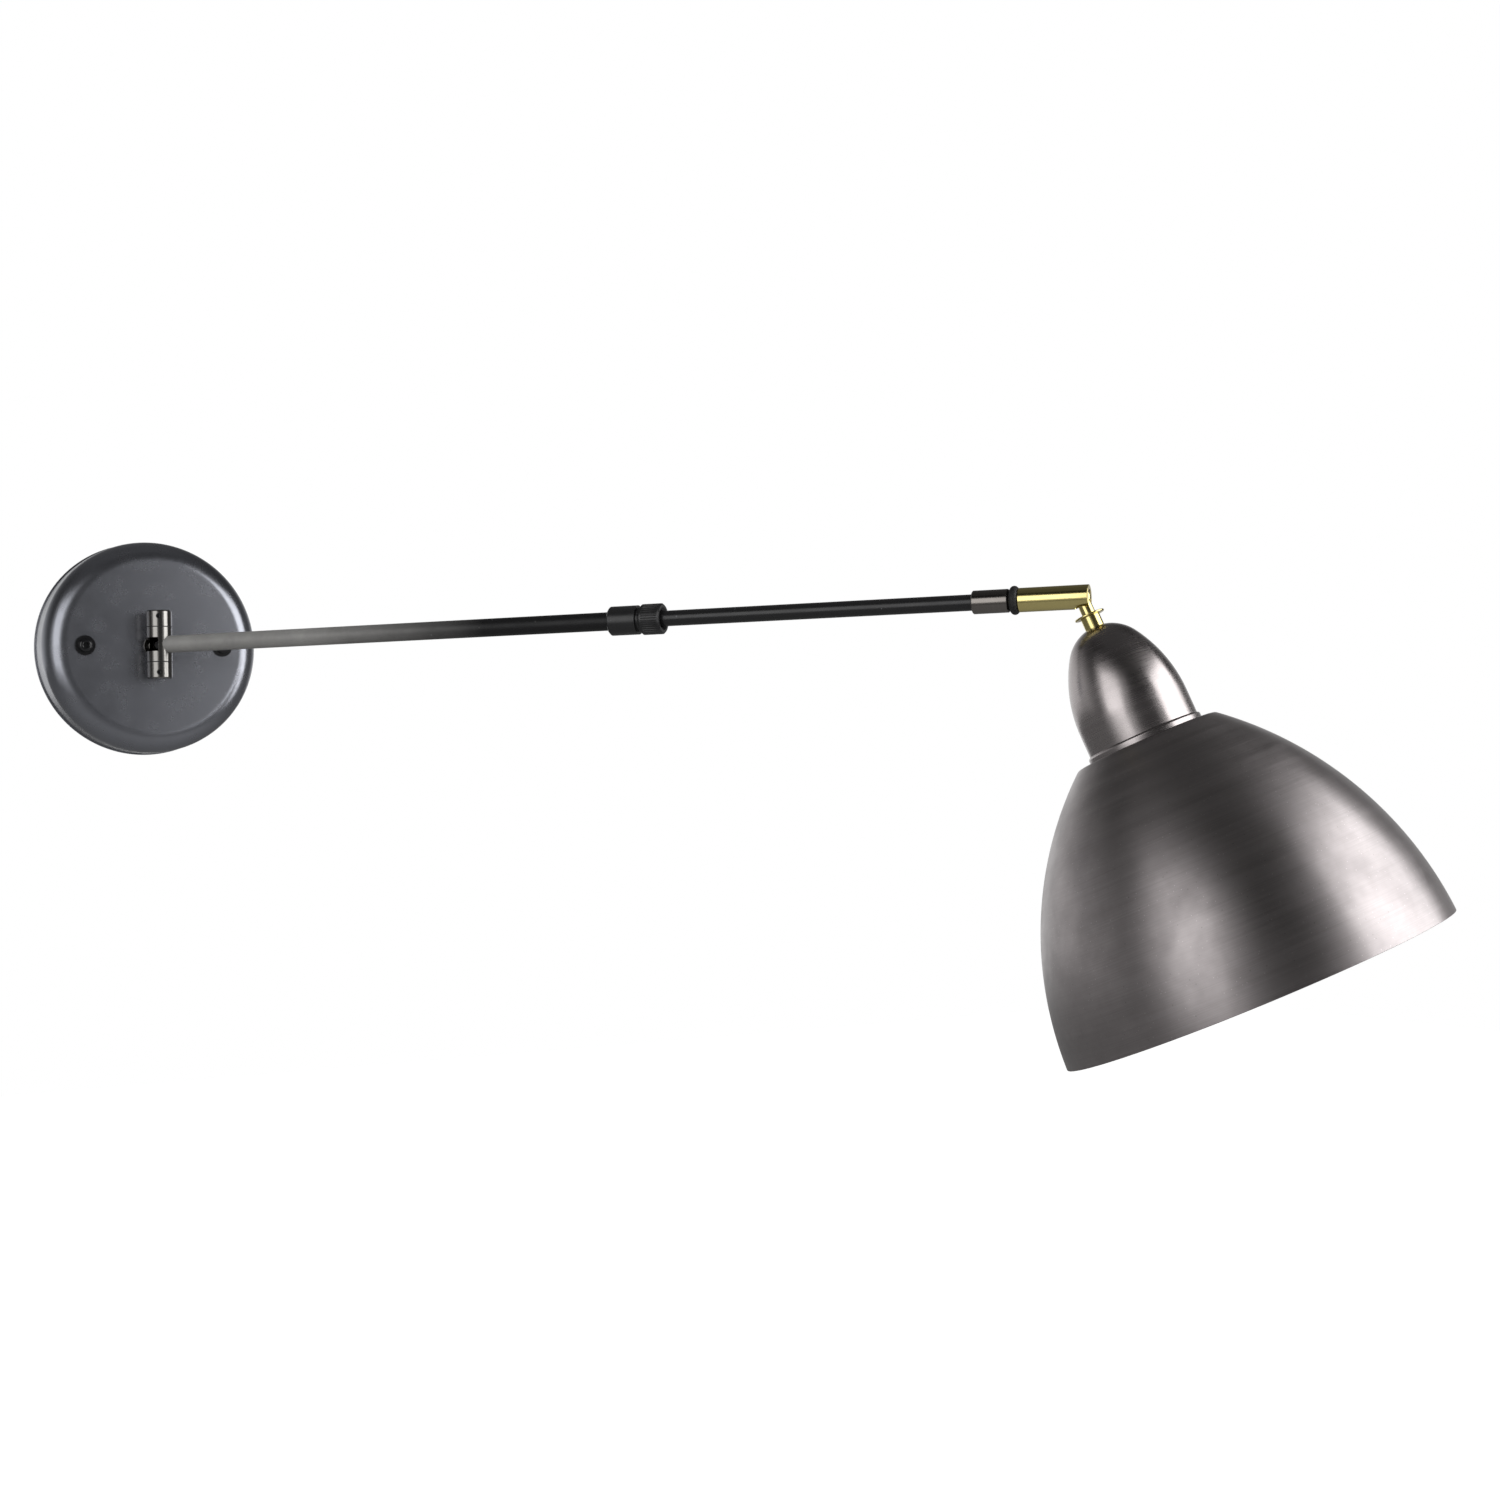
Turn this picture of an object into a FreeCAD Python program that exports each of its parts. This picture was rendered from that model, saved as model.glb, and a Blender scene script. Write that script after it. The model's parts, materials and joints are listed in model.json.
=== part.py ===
import FreeCAD, Part

import math
import os
import sys

import Sketcher
from FreeCAD import Placement, Rotation, Vector

# Articulating wall lamp. Millimetres, +Z up. The origin is the centre of the canopy's wall face,
# the wall is the plane y = 0 and the lamp stands out of it towards -Y. The rest pose is the one
# in which the lamp is shown: arm swung to the right, arm part drawn out, shade hanging forward.

SIZES = [
    # wall plate, canopy and what is inside it
    ("canopy_radius", 60.0), ("canopy_depth", 28.0), ("canopy_shoulder", 12.0),
    ("canopy_wall", 1.2), ("canopy_lip", 0.7), ("canopy_lip_height", 1.4),
    ("plate_thickness", 1.5), ("plate_gap", 0.6), ("plate_cable_radius", 9.0),
    ("wall_slot_spacing", 60.0), ("wall_slot_width", 5.0), ("wall_slot_length", 12.0),
    ("pillar_offset", 38.0), ("pillar_radius", 3.5),
    ("screw_radius", 2.0), ("screw_length", 12.0), ("screw_hole_gap", 0.25),
    ("screw_head_radius", 3.8), ("screw_head_height", 3.0), ("screw_head_edge", 0.5),
    ("screw_flange_radius", 5.5), ("screw_flange_height", 0.9),
    ("screw_socket_radius", 1.75), ("screw_socket_depth", 1.6), ("screw_end_gap", 0.2),
    ("thread_gap", 0.02), ("cut_margin", 1.0),
    ("block_width", 16.0), ("block_height", 26.0), ("block_depth", 12.0), ("block_offset", 22.0),
    ("block_wire_radius", 1.6), ("block_pole_pitch", 8.0), ("block_screw_radius", 1.5),
    ("block_screw_length", 3.6), ("block_screw_pitch", 8.0),
    ("earth_screw_offset", 24.0), ("earth_screw_drop", 16.0), ("earth_screw_gap", 0.15),
    ("earth_washer_radius", 4.4), ("earth_washer_thickness", 0.8),
    # stem that carries the hinge
    ("stem_radius", 5.0), ("stem_back", 16.0), ("stem_flange_radius", 6.2),
    ("stem_flange_thickness", 1.2), ("stem_neck_radius", 3.3), ("stem_bore_radius", 2.2),
    ("stem_nut_across", 14.0), ("stem_nut_thickness", 4.0), ("nut_chamfer", 0.6),
    ("stem_washer_radius", 8.5), ("stem_washer_thickness", 1.0),
    # hinge
    ("hinge_reach", 39.0), ("barrel_radius", 7.0), ("sleeve_height", 19.0),
    ("hinge_washer_thickness", 0.5), ("hinge_washer_inset", 0.3),
    ("cap_height", 8.9), ("cap_floor", 2.0), ("cap_chamfer", 0.7),
    ("axle_radius", 5.3), ("axle_chamber_radius", 3.4), ("axle_chamber_height", 12.0),
    ("axle_window_height", 5.6), ("axle_window_angle", 226.0),
    ("running_gap", 0.05), ("sleeve_slot_gap", 0.5), ("sleeve_slot_angle", 239.0),
    ("grub_radius", 1.25), ("grub_end_gap", 0.25), ("grub_inset", 3.4), ("grub_turn", -16.0),
    ("grub_socket_radius", 0.7), ("grub_socket_depth", 0.7),
    # arm: stations are measured along it from the hinge axis
    ("arm_nipple_radius", 3.48), ("arm_nipple_bore_radius", 2.3), ("arm_nipple_inset", 0.6),
    ("arm_nipple_step_gap", 0.3), ("arm_nipple_length", 9.7),
    ("outer_tube_radius", 4.75), ("outer_tube_wall", 0.45),
    ("collar_start", 270.8), ("collar_length", 15.4), ("collar_radius", 7.5),
    ("collar_socket_depth", 12.5), ("collar_chamfer", 0.7), ("nose_radius", 6.1),
    ("nose_gap", 0.8), ("collet_seat_depth", 8.7), ("collet_radius", 5.35),
    ("collet_proud", 0.5), ("collet_slit", 0.8), ("collet_nose", 0.7),
    ("ring_gap", 2.5), ("ring_length", 11.0), ("ring_radius", 7.9), ("ring_lip", 2.2),
    ("ring_hole_gap", 0.5), ("ring_recess_radius", 5.8), ("ring_recess_depth", 1.4),
    ("ring_cone_height", 0.5),
    ("ring_chamfer", 0.7), ("ring_groove_count", 40), ("ring_groove_radius", 0.28),
    ("ring_groove_margin", 1.6),
    ("tube_slip_gap", 0.3), ("inner_tube_wall", 0.6), ("bush_length", 12.0),
    ("slide_out", 40.0), ("stop_gap", 0.3), ("collar_bore_gap", 0.1),
    ("inner_tube_end", 471.3), ("ferrule_grip", 10.3), ("ferrule_reach", 8.0),
    ("ferrule_radius", 5.75), ("ferrule_chamfer", 0.8), ("ferrule_wall", 3.3),
    ("ferrule_chamber_radius", 4.9), ("ferrule_end_gap", 0.2),
    # swivel
    ("spigot_radius", 3.65), ("spigot_gap", 1.2), ("spigot_bore_radius", 2.3),
    ("clip_setback", 1.9), ("clip_thickness", 0.9), ("clip_groove_radius", 3.05),
    ("clip_gap", 0.3), ("clip_mouth_width", 4.3), ("oring_width", 4.2),
    ("oring_bore_gap", 0.1), ("oring_end_gap", 0.2), ("oring_radius", 7.05), ("oring_gap", 0.1),
    ("housing_wall", 1.1), ("housing_bore_radius", 4.8),
    ("housing_nose", 4.1), ("housing_edge", 0.35), ("disc_spring_stack", 5.3), ("plug_inset", 0.4),
    ("pivot_reach", 30.0), ("ball_gap", 0.05), ("neck_radius", 3.3), ("neck_slot_gap", 0.3),
    ("ball_wire_radius", 1.9), ("spring_gap", 0.1), ("disc_spring_count", 3),
    ("disc_spring_thickness", 0.6),
    ("disc_spring_rise", 0.5), ("follower_back", 8.3), ("follower_neck_gap", 0.4),
    ("follower_bore_radius", 2.6),
    # head: heights are measured down its axis from the ball's centre
    ("shank_radius", 3.0), ("shank_end", 44.0), ("flange_height", 9.4),
    ("flange_radius", 7.4), ("flange_thickness", 0.9), ("bush_radius", 4.7),
    ("cup_apex", 15.7), ("cup_crown_radius", 20.0), ("cup_shoulder", 60.7),
    ("cup_radius", 27.2), ("cup_pad_radius", 5.2), ("cup_wall", 1.0),
    ("cup_lip", 1.1), ("cup_lip_height", 3.4),
    ("cup_nut_across", 11.0), ("cup_nut_thickness", 4.0),
    ("cup_washer_gap", 0.1), ("cup_washer_thickness", 1.0),
    ("shade_top", 76.0), ("shade_height", 127.0), ("shade_rim_radius", 96.5),
    ("shade_side_radius", 173.2), ("shade_top_margin", 5.531), ("shade_corner", 3.0),
    ("shade_wall", 1.0), ("shade_hole_gap", 0.3),
    ("holder_cap_top", 38.0), ("holder_cap_gap", 3.6), ("holder_cap_wall", 2.2),
    ("holder_cap_crown", 12.0), ("holder_cap_boss", 6.0), ("holder_cap_boss_radius", 6.0),
    ("holder_gap", 0.6), ("holder_start", 58.0), ("holder_end", 94.0),
    ("holder_floor", 5.0), ("shell_radius", 13.25), ("shell_wall", 0.4), ("shell_length", 27.0),
    ("shell_gap", 0.35), ("contact_radius", 3.0), ("contact_height", 1.6),
    ("contact_plate_radius", 8.0), ("contact_plate_thickness", 0.5), ("contact_gap", 0.2),
    ("contact_pocket_gap", 0.3),
    ("shade_ring_radius", 25.5), ("shade_ring_height", 6.0), ("shade_ring_chamfer", 1.0),
    # leads inside the lamp
    ("mains_lead_radius", 2.0), ("mains_lead_bend", 9.0), ("mains_lead_depth", 6.5),
    ("lead_radius", 1.7), ("lead_gap", 2.4), ("arm_lead_end", 70.0), ("lead_end_gap", 0.4),
    # rest pose, in degrees
    ("swing_rest", 42.2), ("roll_rest", 1.5), ("tilt_rest", 67.6),
]

doc = FreeCAD.newDocument("wall_lamp")
sheet = doc.addObject("Spreadsheet::Sheet", "sizes")
for row, (alias, value) in enumerate(SIZES, start=1):
    sheet.set(f"A{row}", alias)
    sheet.set(f"B{row}", str(value))
    sheet.setAlias(f"B{row}", alias)
doc.recompute()


# ---------------------------------------------------------------- sizes as value and formula
class Size:
    """A length that carries its value and the formula that ties it to the sheet."""

    def __init__(self, value, formula):
        self.value = value
        self.formula = formula

    def _join(self, other, sign, value):
        return Size(value, f"({self.formula} {sign} {as_size(other).formula})")

    def __add__(self, other):
        return self._join(other, "+", self.value + as_size(other).value)

    def __sub__(self, other):
        return self._join(other, "-", self.value - as_size(other).value)

    def __mul__(self, other):
        return self._join(other, "*", self.value * as_size(other).value)

    def __truediv__(self, other):
        return self._join(other, "/", self.value / as_size(other).value)

    def __neg__(self):
        return Size(-self.value, f"(0 - {self.formula})")

    def root(self):
        return Size(math.sqrt(self.value), f"sqrt({self.formula})")


def as_size(value):
    return value if isinstance(value, Size) else Size(float(value), repr(float(value)))


def hypotenuse_leg(long_side, short_side):
    """The other leg of a right triangle."""
    return (long_side * long_side - short_side * short_side).root()


class Sheet:
    """Gives each sheet cell as an attribute of the same name."""


size = Sheet()
for alias, _ in SIZES:
    setattr(size, alias, Size(float(sheet.get(alias)), f"sizes.{alias}"))


def worked_out(alias, value):
    """Keeps a length that follows from others in a cell of its own, under its own name."""
    row = len(sheet.getUsedCells()) // 2 + 1
    sheet.set(f"A{row}", alias)
    sheet.set(f"B{row}", "=" + value.formula.replace("sizes.", ""))
    sheet.setAlias(f"B{row}", alias)
    return Size(value.value, f"sizes.{alias}")


def follow(alias, value):
    """Names a length of the whole lamp that follows from others."""
    setattr(size, alias, worked_out(alias, value))


follow("grub_length", size.barrel_radius - size.axle_radius - size.grub_end_gap)
follow("arm_nipple_start", size.axle_radius + size.arm_nipple_inset)
follow("arm_nipple_step", size.barrel_radius + size.arm_nipple_step_gap)
follow("arm_nipple_end", size.arm_nipple_step + size.arm_nipple_length)
follow("inner_tube_radius", size.outer_tube_radius - size.outer_tube_wall - size.tube_slip_gap)
follow("ring_hole_radius", size.inner_tube_radius + size.ring_hole_gap)
follow("ring_thread_depth", size.ring_length - size.ring_lip)
follow("nose_length", size.ring_gap + size.ring_thread_depth - size.nose_gap)
follow("collet_length", size.collet_seat_depth + size.collet_proud)
follow("ferrule_start", size.inner_tube_end - size.ferrule_grip)
follow("ferrule_end", size.inner_tube_end + size.ferrule_reach)
follow("spigot_start", size.inner_tube_end + size.spigot_gap)
follow("clip_start", size.spigot_start + size.clip_setback)
follow("clip_radius", size.ferrule_chamber_radius - size.clip_gap)
follow("oring_inner_radius", size.spigot_radius + size.oring_bore_gap)
follow("housing_start", size.ferrule_end + size.oring_end_gap + size.oring_width + size.oring_gap)
follow("pivot_station", size.housing_start + size.pivot_reach)
follow("housing_end", size.pivot_station + size.housing_nose)
follow("housing_radius", size.housing_bore_radius + size.housing_wall)
follow("ball_radius", size.housing_bore_radius - size.ball_gap)
follow("plug_length",
       size.pivot_reach - size.follower_back - size.disc_spring_stack - size.plug_inset)
follow("holder_cap_radius", size.cup_radius - size.cup_wall - size.holder_cap_gap)
follow("holder_radius", size.holder_cap_radius - size.holder_cap_wall - size.holder_gap)


# ---------------------------------------------------------------- building blocks
def bind(obj, prop, value):
    value = as_size(value)
    obj.setExpression(prop, value.formula)


def origin_plane(body, role):
    return next(item for item in body.Origin.OriginFeatures if item.Role == role)


def arc_between(start, end, radius, clockwise):
    """The centre and the two angles of the short arc from start to end."""
    chord = end - start
    middle = start + chord * 0.5
    rise = math.sqrt(max(radius**2 - (chord.Length / 2) ** 2, 0.0))
    side = Vector(-chord.y, chord.x, 0).normalize()
    centre = middle - side * rise if clockwise else middle + side * rise
    first, last = (end, start) if clockwise else (start, end)
    angles = [math.atan2(point.y - centre.y, point.x - centre.x) for point in (first, last)]
    if angles[1] < angles[0]:
        angles[1] += 2 * math.pi
    return Part.ArcOfCircle(Part.Circle(centre, Vector(0, 0, 1), radius), *angles)


def closed_outline(sketch, outline):
    """Draws the outline, ties every corner and arc radius to its formula.

    Each corner is (x, y), reached by a line, or (x, y, radius, "cw" or "ccw"), reached by an arc.
    """
    spots = [Vector(as_size(corner[0]).value, as_size(corner[1]).value, 0) for corner in outline]
    starts = []
    ends = []
    formulas = []
    for number, corner in enumerate(outline[1:] + outline[:1]):
        here = spots[number]
        there = spots[(number + 1) % len(spots)]
        if len(corner) == 2:
            edge = sketch.addGeometry(Part.LineSegment(here, there), False)
            starts.append((edge, 1))
            ends.append((edge, 2))
            continue
        clockwise = corner[3] == "cw"
        arc = arc_between(here, there, corner[2].value, clockwise)
        edge = sketch.addGeometry(arc, False)
        starts.append((edge, 2 if clockwise else 1))
        ends.append((edge, 1 if clockwise else 2))
        index = sketch.addConstraint(Sketcher.Constraint("Radius", edge, corner[2].value))
        formulas.append((index, corner[2]))
    for number, end in enumerate(ends):
        start = starts[(number + 1) % len(starts)]
        sketch.addConstraint(Sketcher.Constraint("Coincident", *end, *start))
    for start, corner in zip(starts, outline):
        for kind, axis, place in (("DistanceX", -2, corner[0]), ("DistanceY", -1, corner[1])):
            place = as_size(place)
            if place.value == 0:
                sketch.addConstraint(Sketcher.Constraint("PointOnObject", *start, axis))
                continue
            index = sketch.addConstraint(Sketcher.Constraint(kind, *start, place.value))
            formulas.append((index, place))
    for index, formula in formulas:
        bind(sketch, f"Constraints[{index}]", formula)


def new_sketch(body, name, role):
    sketch = body.newObject("Sketcher::SketchObject", name)
    sketch.AttachmentSupport = [(origin_plane(body, role), "")]
    sketch.MapMode = "FlatFace"
    return sketch


def turned(label, outline):
    """A body turned about its own Z axis; the outline's corners are (radius, height)."""
    body = doc.addObject("PartDesign::Body", label)
    sketch = new_sketch(body, f"{label}_outline", "XZ_Plane")
    closed_outline(sketch, outline)
    turn = body.newObject("PartDesign::Revolution", f"{label}_turn")
    turn.Profile = sketch
    turn.ReferenceAxis = (sketch, ["V_Axis"])
    turn.Angle = 360
    sketch.Visibility = False
    return body


def ring(label, inner, outer, low, high):
    return turned(label, [(inner, low), (outer, low), (outer, high), (inner, high)])


def rod(label, radius, low, high):
    return turned(label, [(0, low), (radius, low), (radius, high), (0, high)])


def place(obj, x=0, y=0, z=0, turn=None):
    base = Vector(*(as_size(value).value for value in (x, y, z)))
    obj.Placement = Placement(base, turn or Rotation())
    for axis, value in (("x", x), ("y", y), ("z", z)):
        bind(obj, f"Placement.Base.{axis}", value)
    return obj


def cylinder(label, radius, height, x=0, y=0, z=0, turn=None, angle=None):
    obj = doc.addObject("Part::Cylinder", label)
    bind(obj, "Radius", radius)
    bind(obj, "Height", height)
    if angle is not None:
        bind(obj, "Angle", angle)
    return place(obj, x, y, z, turn)


def box(label, length, width, height, x=0, y=0, z=0):
    obj = doc.addObject("Part::Box", label)
    for prop, value in (("Length", length), ("Width", width), ("Height", height)):
        bind(obj, prop, value)
    return place(obj, x, y, z)


def prism(label, across_flats, height, x=0, y=0, z=0, turn=None):
    obj = doc.addObject("Part::Prism", label)
    obj.Polygon = 6
    bind(obj, "Circumradius", as_size(across_flats) / math.sqrt(3))
    bind(obj, "Height", height)
    return place(obj, x, y, z, turn)


def together(label, parts):
    obj = doc.addObject("Part::Compound", label)
    obj.Links = parts
    return obj


def cut(label, base, tools):
    obj = doc.addObject("Part::Cut", label)
    obj.Base = base
    obj.Tool = tools[0] if len(tools) == 1 else fused(f"{label}_tools", tools)
    return obj


def fused(label, parts):
    obj = doc.addObject("Part::MultiFuse", label)
    obj.Shapes = parts
    return obj


def common(label, first, second):
    obj = doc.addObject("Part::Common", label)
    obj.Base = first
    obj.Tool = second
    return obj


def hex_nut(label, across, bore, low, thickness):
    """A hexagon nut with its corners turned off, standing on height low."""
    corner = across / math.sqrt(3)
    chamfer = size.nut_chamfer
    blank = prism(f"{label}_hexagon", across, thickness, z=low)
    turned_off = turned(
        f"{label}_turned",
        [
            (bore, low),
            (corner - chamfer, low),
            (corner + chamfer, low + chamfer),
            (corner + chamfer, low + thickness - chamfer),
            (corner - chamfer, low + thickness),
            (bore, low + thickness),
        ],
    )
    return common(label, blank, turned_off)


def socket_screw(label, radius, length, head_radius, head_height, socket, depth, head_seat):
    """A domed screw that points down -Z, the flange of its head seated on height head_seat."""
    top = head_seat + head_height
    flange = head_seat + size.screw_flange_height
    shoulder = flange + size.screw_head_edge
    blank = turned(
        f"{label}_blank",
        [
            (0, head_seat - length),
            (radius, head_seat - length),
            (radius, head_seat),
            (size.screw_flange_radius, head_seat),
            (size.screw_flange_radius, flange),
            (head_radius, flange),
            (head_radius, shoulder),
            (head_radius - (top - shoulder), top, top - shoulder, "ccw"),
            (0, top),
        ],
    )
    key = prism(f"{label}_key", socket * math.sqrt(3), depth + size.cut_margin, z=top - depth)
    return cut(label, blank, [key])


# ---------------------------------------------------------------- frames of the rest pose
X_AXIS = Vector(1, 0, 0)
Y_AXIS = Vector(0, 1, 0)
Z_AXIS = Vector(0, 0, 1)


def moved(x, y, z):
    return Placement(Vector(x, y, z), Rotation())


def rotated(axis, degrees):
    return Placement(Vector(), Rotation(axis, degrees))


# Wall frame: Z stands out of the wall. Hinge and swing frames: Z up; in the swing frame the arm
# runs along -Y. Arm frame: Z along the arm, X down. Head frame: Z down the shade's axis.
wall_frame = rotated(X_AXIS, 90)
hinge_frame = moved(0, -size.hinge_reach.value, 0)
swing_frame = hinge_frame * rotated(Z_AXIS, size.swing_rest.value)
arm_frame = swing_frame * rotated(X_AXIS, 90) * rotated(Z_AXIS, -90)
swivel_frame = arm_frame * rotated(Z_AXIS, size.roll_rest.value)
head_frame = (
    swivel_frame * moved(0, 0, size.pivot_station.value) * rotated(Y_AXIS, size.tilt_rest.value)
)

nodes = []


def node(obj, label, frame):
    """Registers a finished piece under its node name, standing in its frame."""
    obj.Label = label
    for prop in ("x", "y", "z"):
        obj.setExpression(f"Placement.Base.{prop}", None)
    obj.Placement = frame * obj.Placement
    nodes.append(obj)


# ---------------------------------------------------------------- canopy and wall plate
def make_wall_plate():
    skirt = size.canopy_radius - size.canopy_lip - size.canopy_wall
    plate = ring("plate_blank", size.plate_cable_radius, skirt - size.plate_gap,
                 0, size.plate_thickness)
    cutters = []
    half_width = size.wall_slot_width / 2
    straight = size.wall_slot_length - size.wall_slot_width
    through = size.plate_thickness + size.cut_margin * 2
    below = -size.cut_margin
    for side, sign in (("upper", 1), ("lower", -1)):
        centre = size.wall_slot_spacing / 2 * sign
        cutters.append(box(f"{side}_slot", size.wall_slot_width, straight, through,
                           -half_width, centre - straight / 2, below))
        for end, away in (("outer", straight / 2), ("inner", -straight / 2)):
            cutters.append(cylinder(f"{side}_slot_{end}", half_width, through,
                                    0, centre + away, below))
    cutters.append(cylinder("earth_hole", size.screw_radius + size.thread_gap, through,
                            size.earth_screw_offset, -size.earth_screw_drop, below))
    node(cut("wall_plate", plate, cutters), "wall_plate", wall_frame)


def make_pillars():
    top = size.canopy_depth - size.canopy_wall
    bottom = size.canopy_depth - size.screw_length - size.screw_end_gap
    pair = []
    for side, sign in (("left", -1), ("right", 1)):
        pillar = turned(f"{side}_pillar", [
            (0, size.plate_thickness),
            (size.pillar_radius, size.plate_thickness),
            (size.pillar_radius, top),
            (size.screw_radius + size.thread_gap, top),
            (size.screw_radius + size.thread_gap, bottom),
            (0, bottom),
        ])
        pair.append(place(pillar, size.pillar_offset * sign))
    node(together("pillars", pair), "pillars", wall_frame)


def make_canopy():
    skirt = size.canopy_radius - size.canopy_lip
    flat = skirt - size.canopy_shoulder
    inside = size.canopy_depth - size.canopy_wall
    hole = size.stem_radius + size.thread_gap
    shoulder_start = size.canopy_depth - size.canopy_shoulder
    shell = turned("canopy_shell", [
        (size.canopy_radius, 0),
        (size.canopy_radius, size.canopy_lip_height),
        (skirt, size.canopy_lip_height),
        (skirt, shoulder_start),
        (flat, size.canopy_depth, size.canopy_shoulder, "ccw"),
        (hole, size.canopy_depth),
        (hole, inside),
        (flat, inside),
        (skirt - size.canopy_wall, shoulder_start, size.canopy_shoulder - size.canopy_wall, "cw"),
        (skirt - size.canopy_wall, 0),
    ])
    holes = [
        cylinder(f"{side}_screw_hole", size.screw_radius + size.screw_hole_gap,
                 size.canopy_wall + size.cut_margin * 2, size.pillar_offset * sign, 0,
                 inside - size.cut_margin)
        for side, sign in (("left", -1), ("right", 1))
    ]
    node(cut("canopy", shell, holes), "canopy", wall_frame)


def make_canopy_screws():
    pair = [
        place(
            socket_screw(f"{side}_canopy_screw", size.screw_radius, size.screw_length,
                         size.screw_head_radius, size.screw_head_height,
                         size.screw_socket_radius, size.screw_socket_depth, size.canopy_depth),
            size.pillar_offset * sign,
        )
        for side, sign in (("left", -1), ("right", 1))
    ]
    node(together("canopy_screws", pair), "canopy_screws", wall_frame)


def make_terminal_block():
    left = -size.block_offset - size.block_width / 2
    blank = box("block_blank", size.block_width, size.block_height, size.block_depth,
                left, -(size.block_height / 2), size.plate_thickness)
    middle = size.mains_lead_depth
    cutters = []
    screws = []
    top = size.plate_thickness + size.block_depth
    along_x = Rotation(Y_AXIS, 90)
    for pole, steps in (("live", 1), ("earth", 0), ("neutral", -1)):
        height = size.block_pole_pitch * steps
        cutters.append(cylinder(f"{pole}_wire_hole", size.block_wire_radius,
                                size.block_width + size.cut_margin * 2,
                                left - size.cut_margin, height, middle, along_x))
        half_pitch = size.block_screw_pitch / 2
        for end, away in (("inlet", -half_pitch), ("outlet", half_pitch)):
            across = away - size.block_offset
            cutters.append(cylinder(f"{pole}_{end}_well",
                                    size.block_screw_radius + size.thread_gap,
                                    top - middle, across, height, middle))
            low = middle + size.block_wire_radius
            screws.append(cylinder(f"{pole}_{end}_screw", size.block_screw_radius,
                                   size.block_screw_length, across, height, low))
    node(cut("terminal_block", blank, cutters), "terminal_block", wall_frame)
    node(together("terminal_screws", screws), "terminal_screws", wall_frame)


def make_earth_screw():
    low = size.plate_thickness
    seat = low + size.earth_washer_thickness
    washer = ring("earth_washer_blank", size.screw_radius + size.screw_hole_gap,
                  size.earth_washer_radius, low, seat)
    place(washer, size.earth_screw_offset, -size.earth_screw_drop)
    node(washer, "earth_washer", wall_frame)
    screw = turned("earth_screw_blank", [
        (0, size.earth_screw_gap),
        (size.screw_radius, size.earth_screw_gap),
        (size.screw_radius, seat),
        (size.screw_head_radius, seat),
        (size.screw_head_radius, seat + size.screw_head_height),
        (0, seat + size.screw_head_height),
    ])
    place(screw, size.earth_screw_offset, -size.earth_screw_drop)
    node(screw, "earth_screw", wall_frame)


# ---------------------------------------------------------------- stem and hinge
def make_stem():
    seat = size.canopy_depth
    neck = seat + size.stem_flange_thickness
    tip = size.hinge_reach - size.axle_chamber_radius
    node(turned("stem", [
        (size.stem_bore_radius, size.stem_back),
        (size.stem_radius, size.stem_back),
        (size.stem_radius, seat),
        (size.stem_flange_radius, seat),
        (size.stem_flange_radius, neck),
        (size.stem_neck_radius, neck),
        (size.stem_neck_radius, tip),
        (size.stem_bore_radius, tip),
    ]), "stem", wall_frame)
    inside = size.canopy_depth - size.canopy_wall
    nut_top = inside - size.stem_washer_thickness
    bore = size.stem_radius + size.thread_gap
    node(ring("stem_washer", bore, size.stem_washer_radius, nut_top, inside),
         "stem_washer", wall_frame)
    node(hex_nut("stem_nut", size.stem_nut_across, bore, nut_top - size.stem_nut_thickness,
                 size.stem_nut_thickness), "stem_nut", wall_frame)


def hinge_sector(label, height, angle, middle):
    """A wide sector about the hinge axis, its middle at the given angle from +X."""
    start = middle - angle.value / 2
    return cylinder(label, size.barrel_radius * 2, height, z=-(height / 2),
                    turn=Rotation(Z_AXIS, start), angle=angle)


def make_hinge_axle():
    half = size.sleeve_height / 2 + size.hinge_washer_thickness + size.cap_height - size.cap_floor
    blank = rod("axle_blank", size.axle_radius, -half, half)
    chamber = cylinder("axle_chamber", size.axle_chamber_radius, size.axle_chamber_height,
                       z=-(size.axle_chamber_height / 2))
    stem_hole = cylinder("axle_stem_hole", size.stem_neck_radius + size.thread_gap,
                         size.axle_radius * 2, turn=Rotation(X_AXIS, -90))
    window = hinge_sector("axle_window", size.axle_window_height, size.axle_window_angle, -90)
    node(cut("hinge_axle", blank, [chamber, stem_hole, window]), "hinge_axle", hinge_frame)


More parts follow.
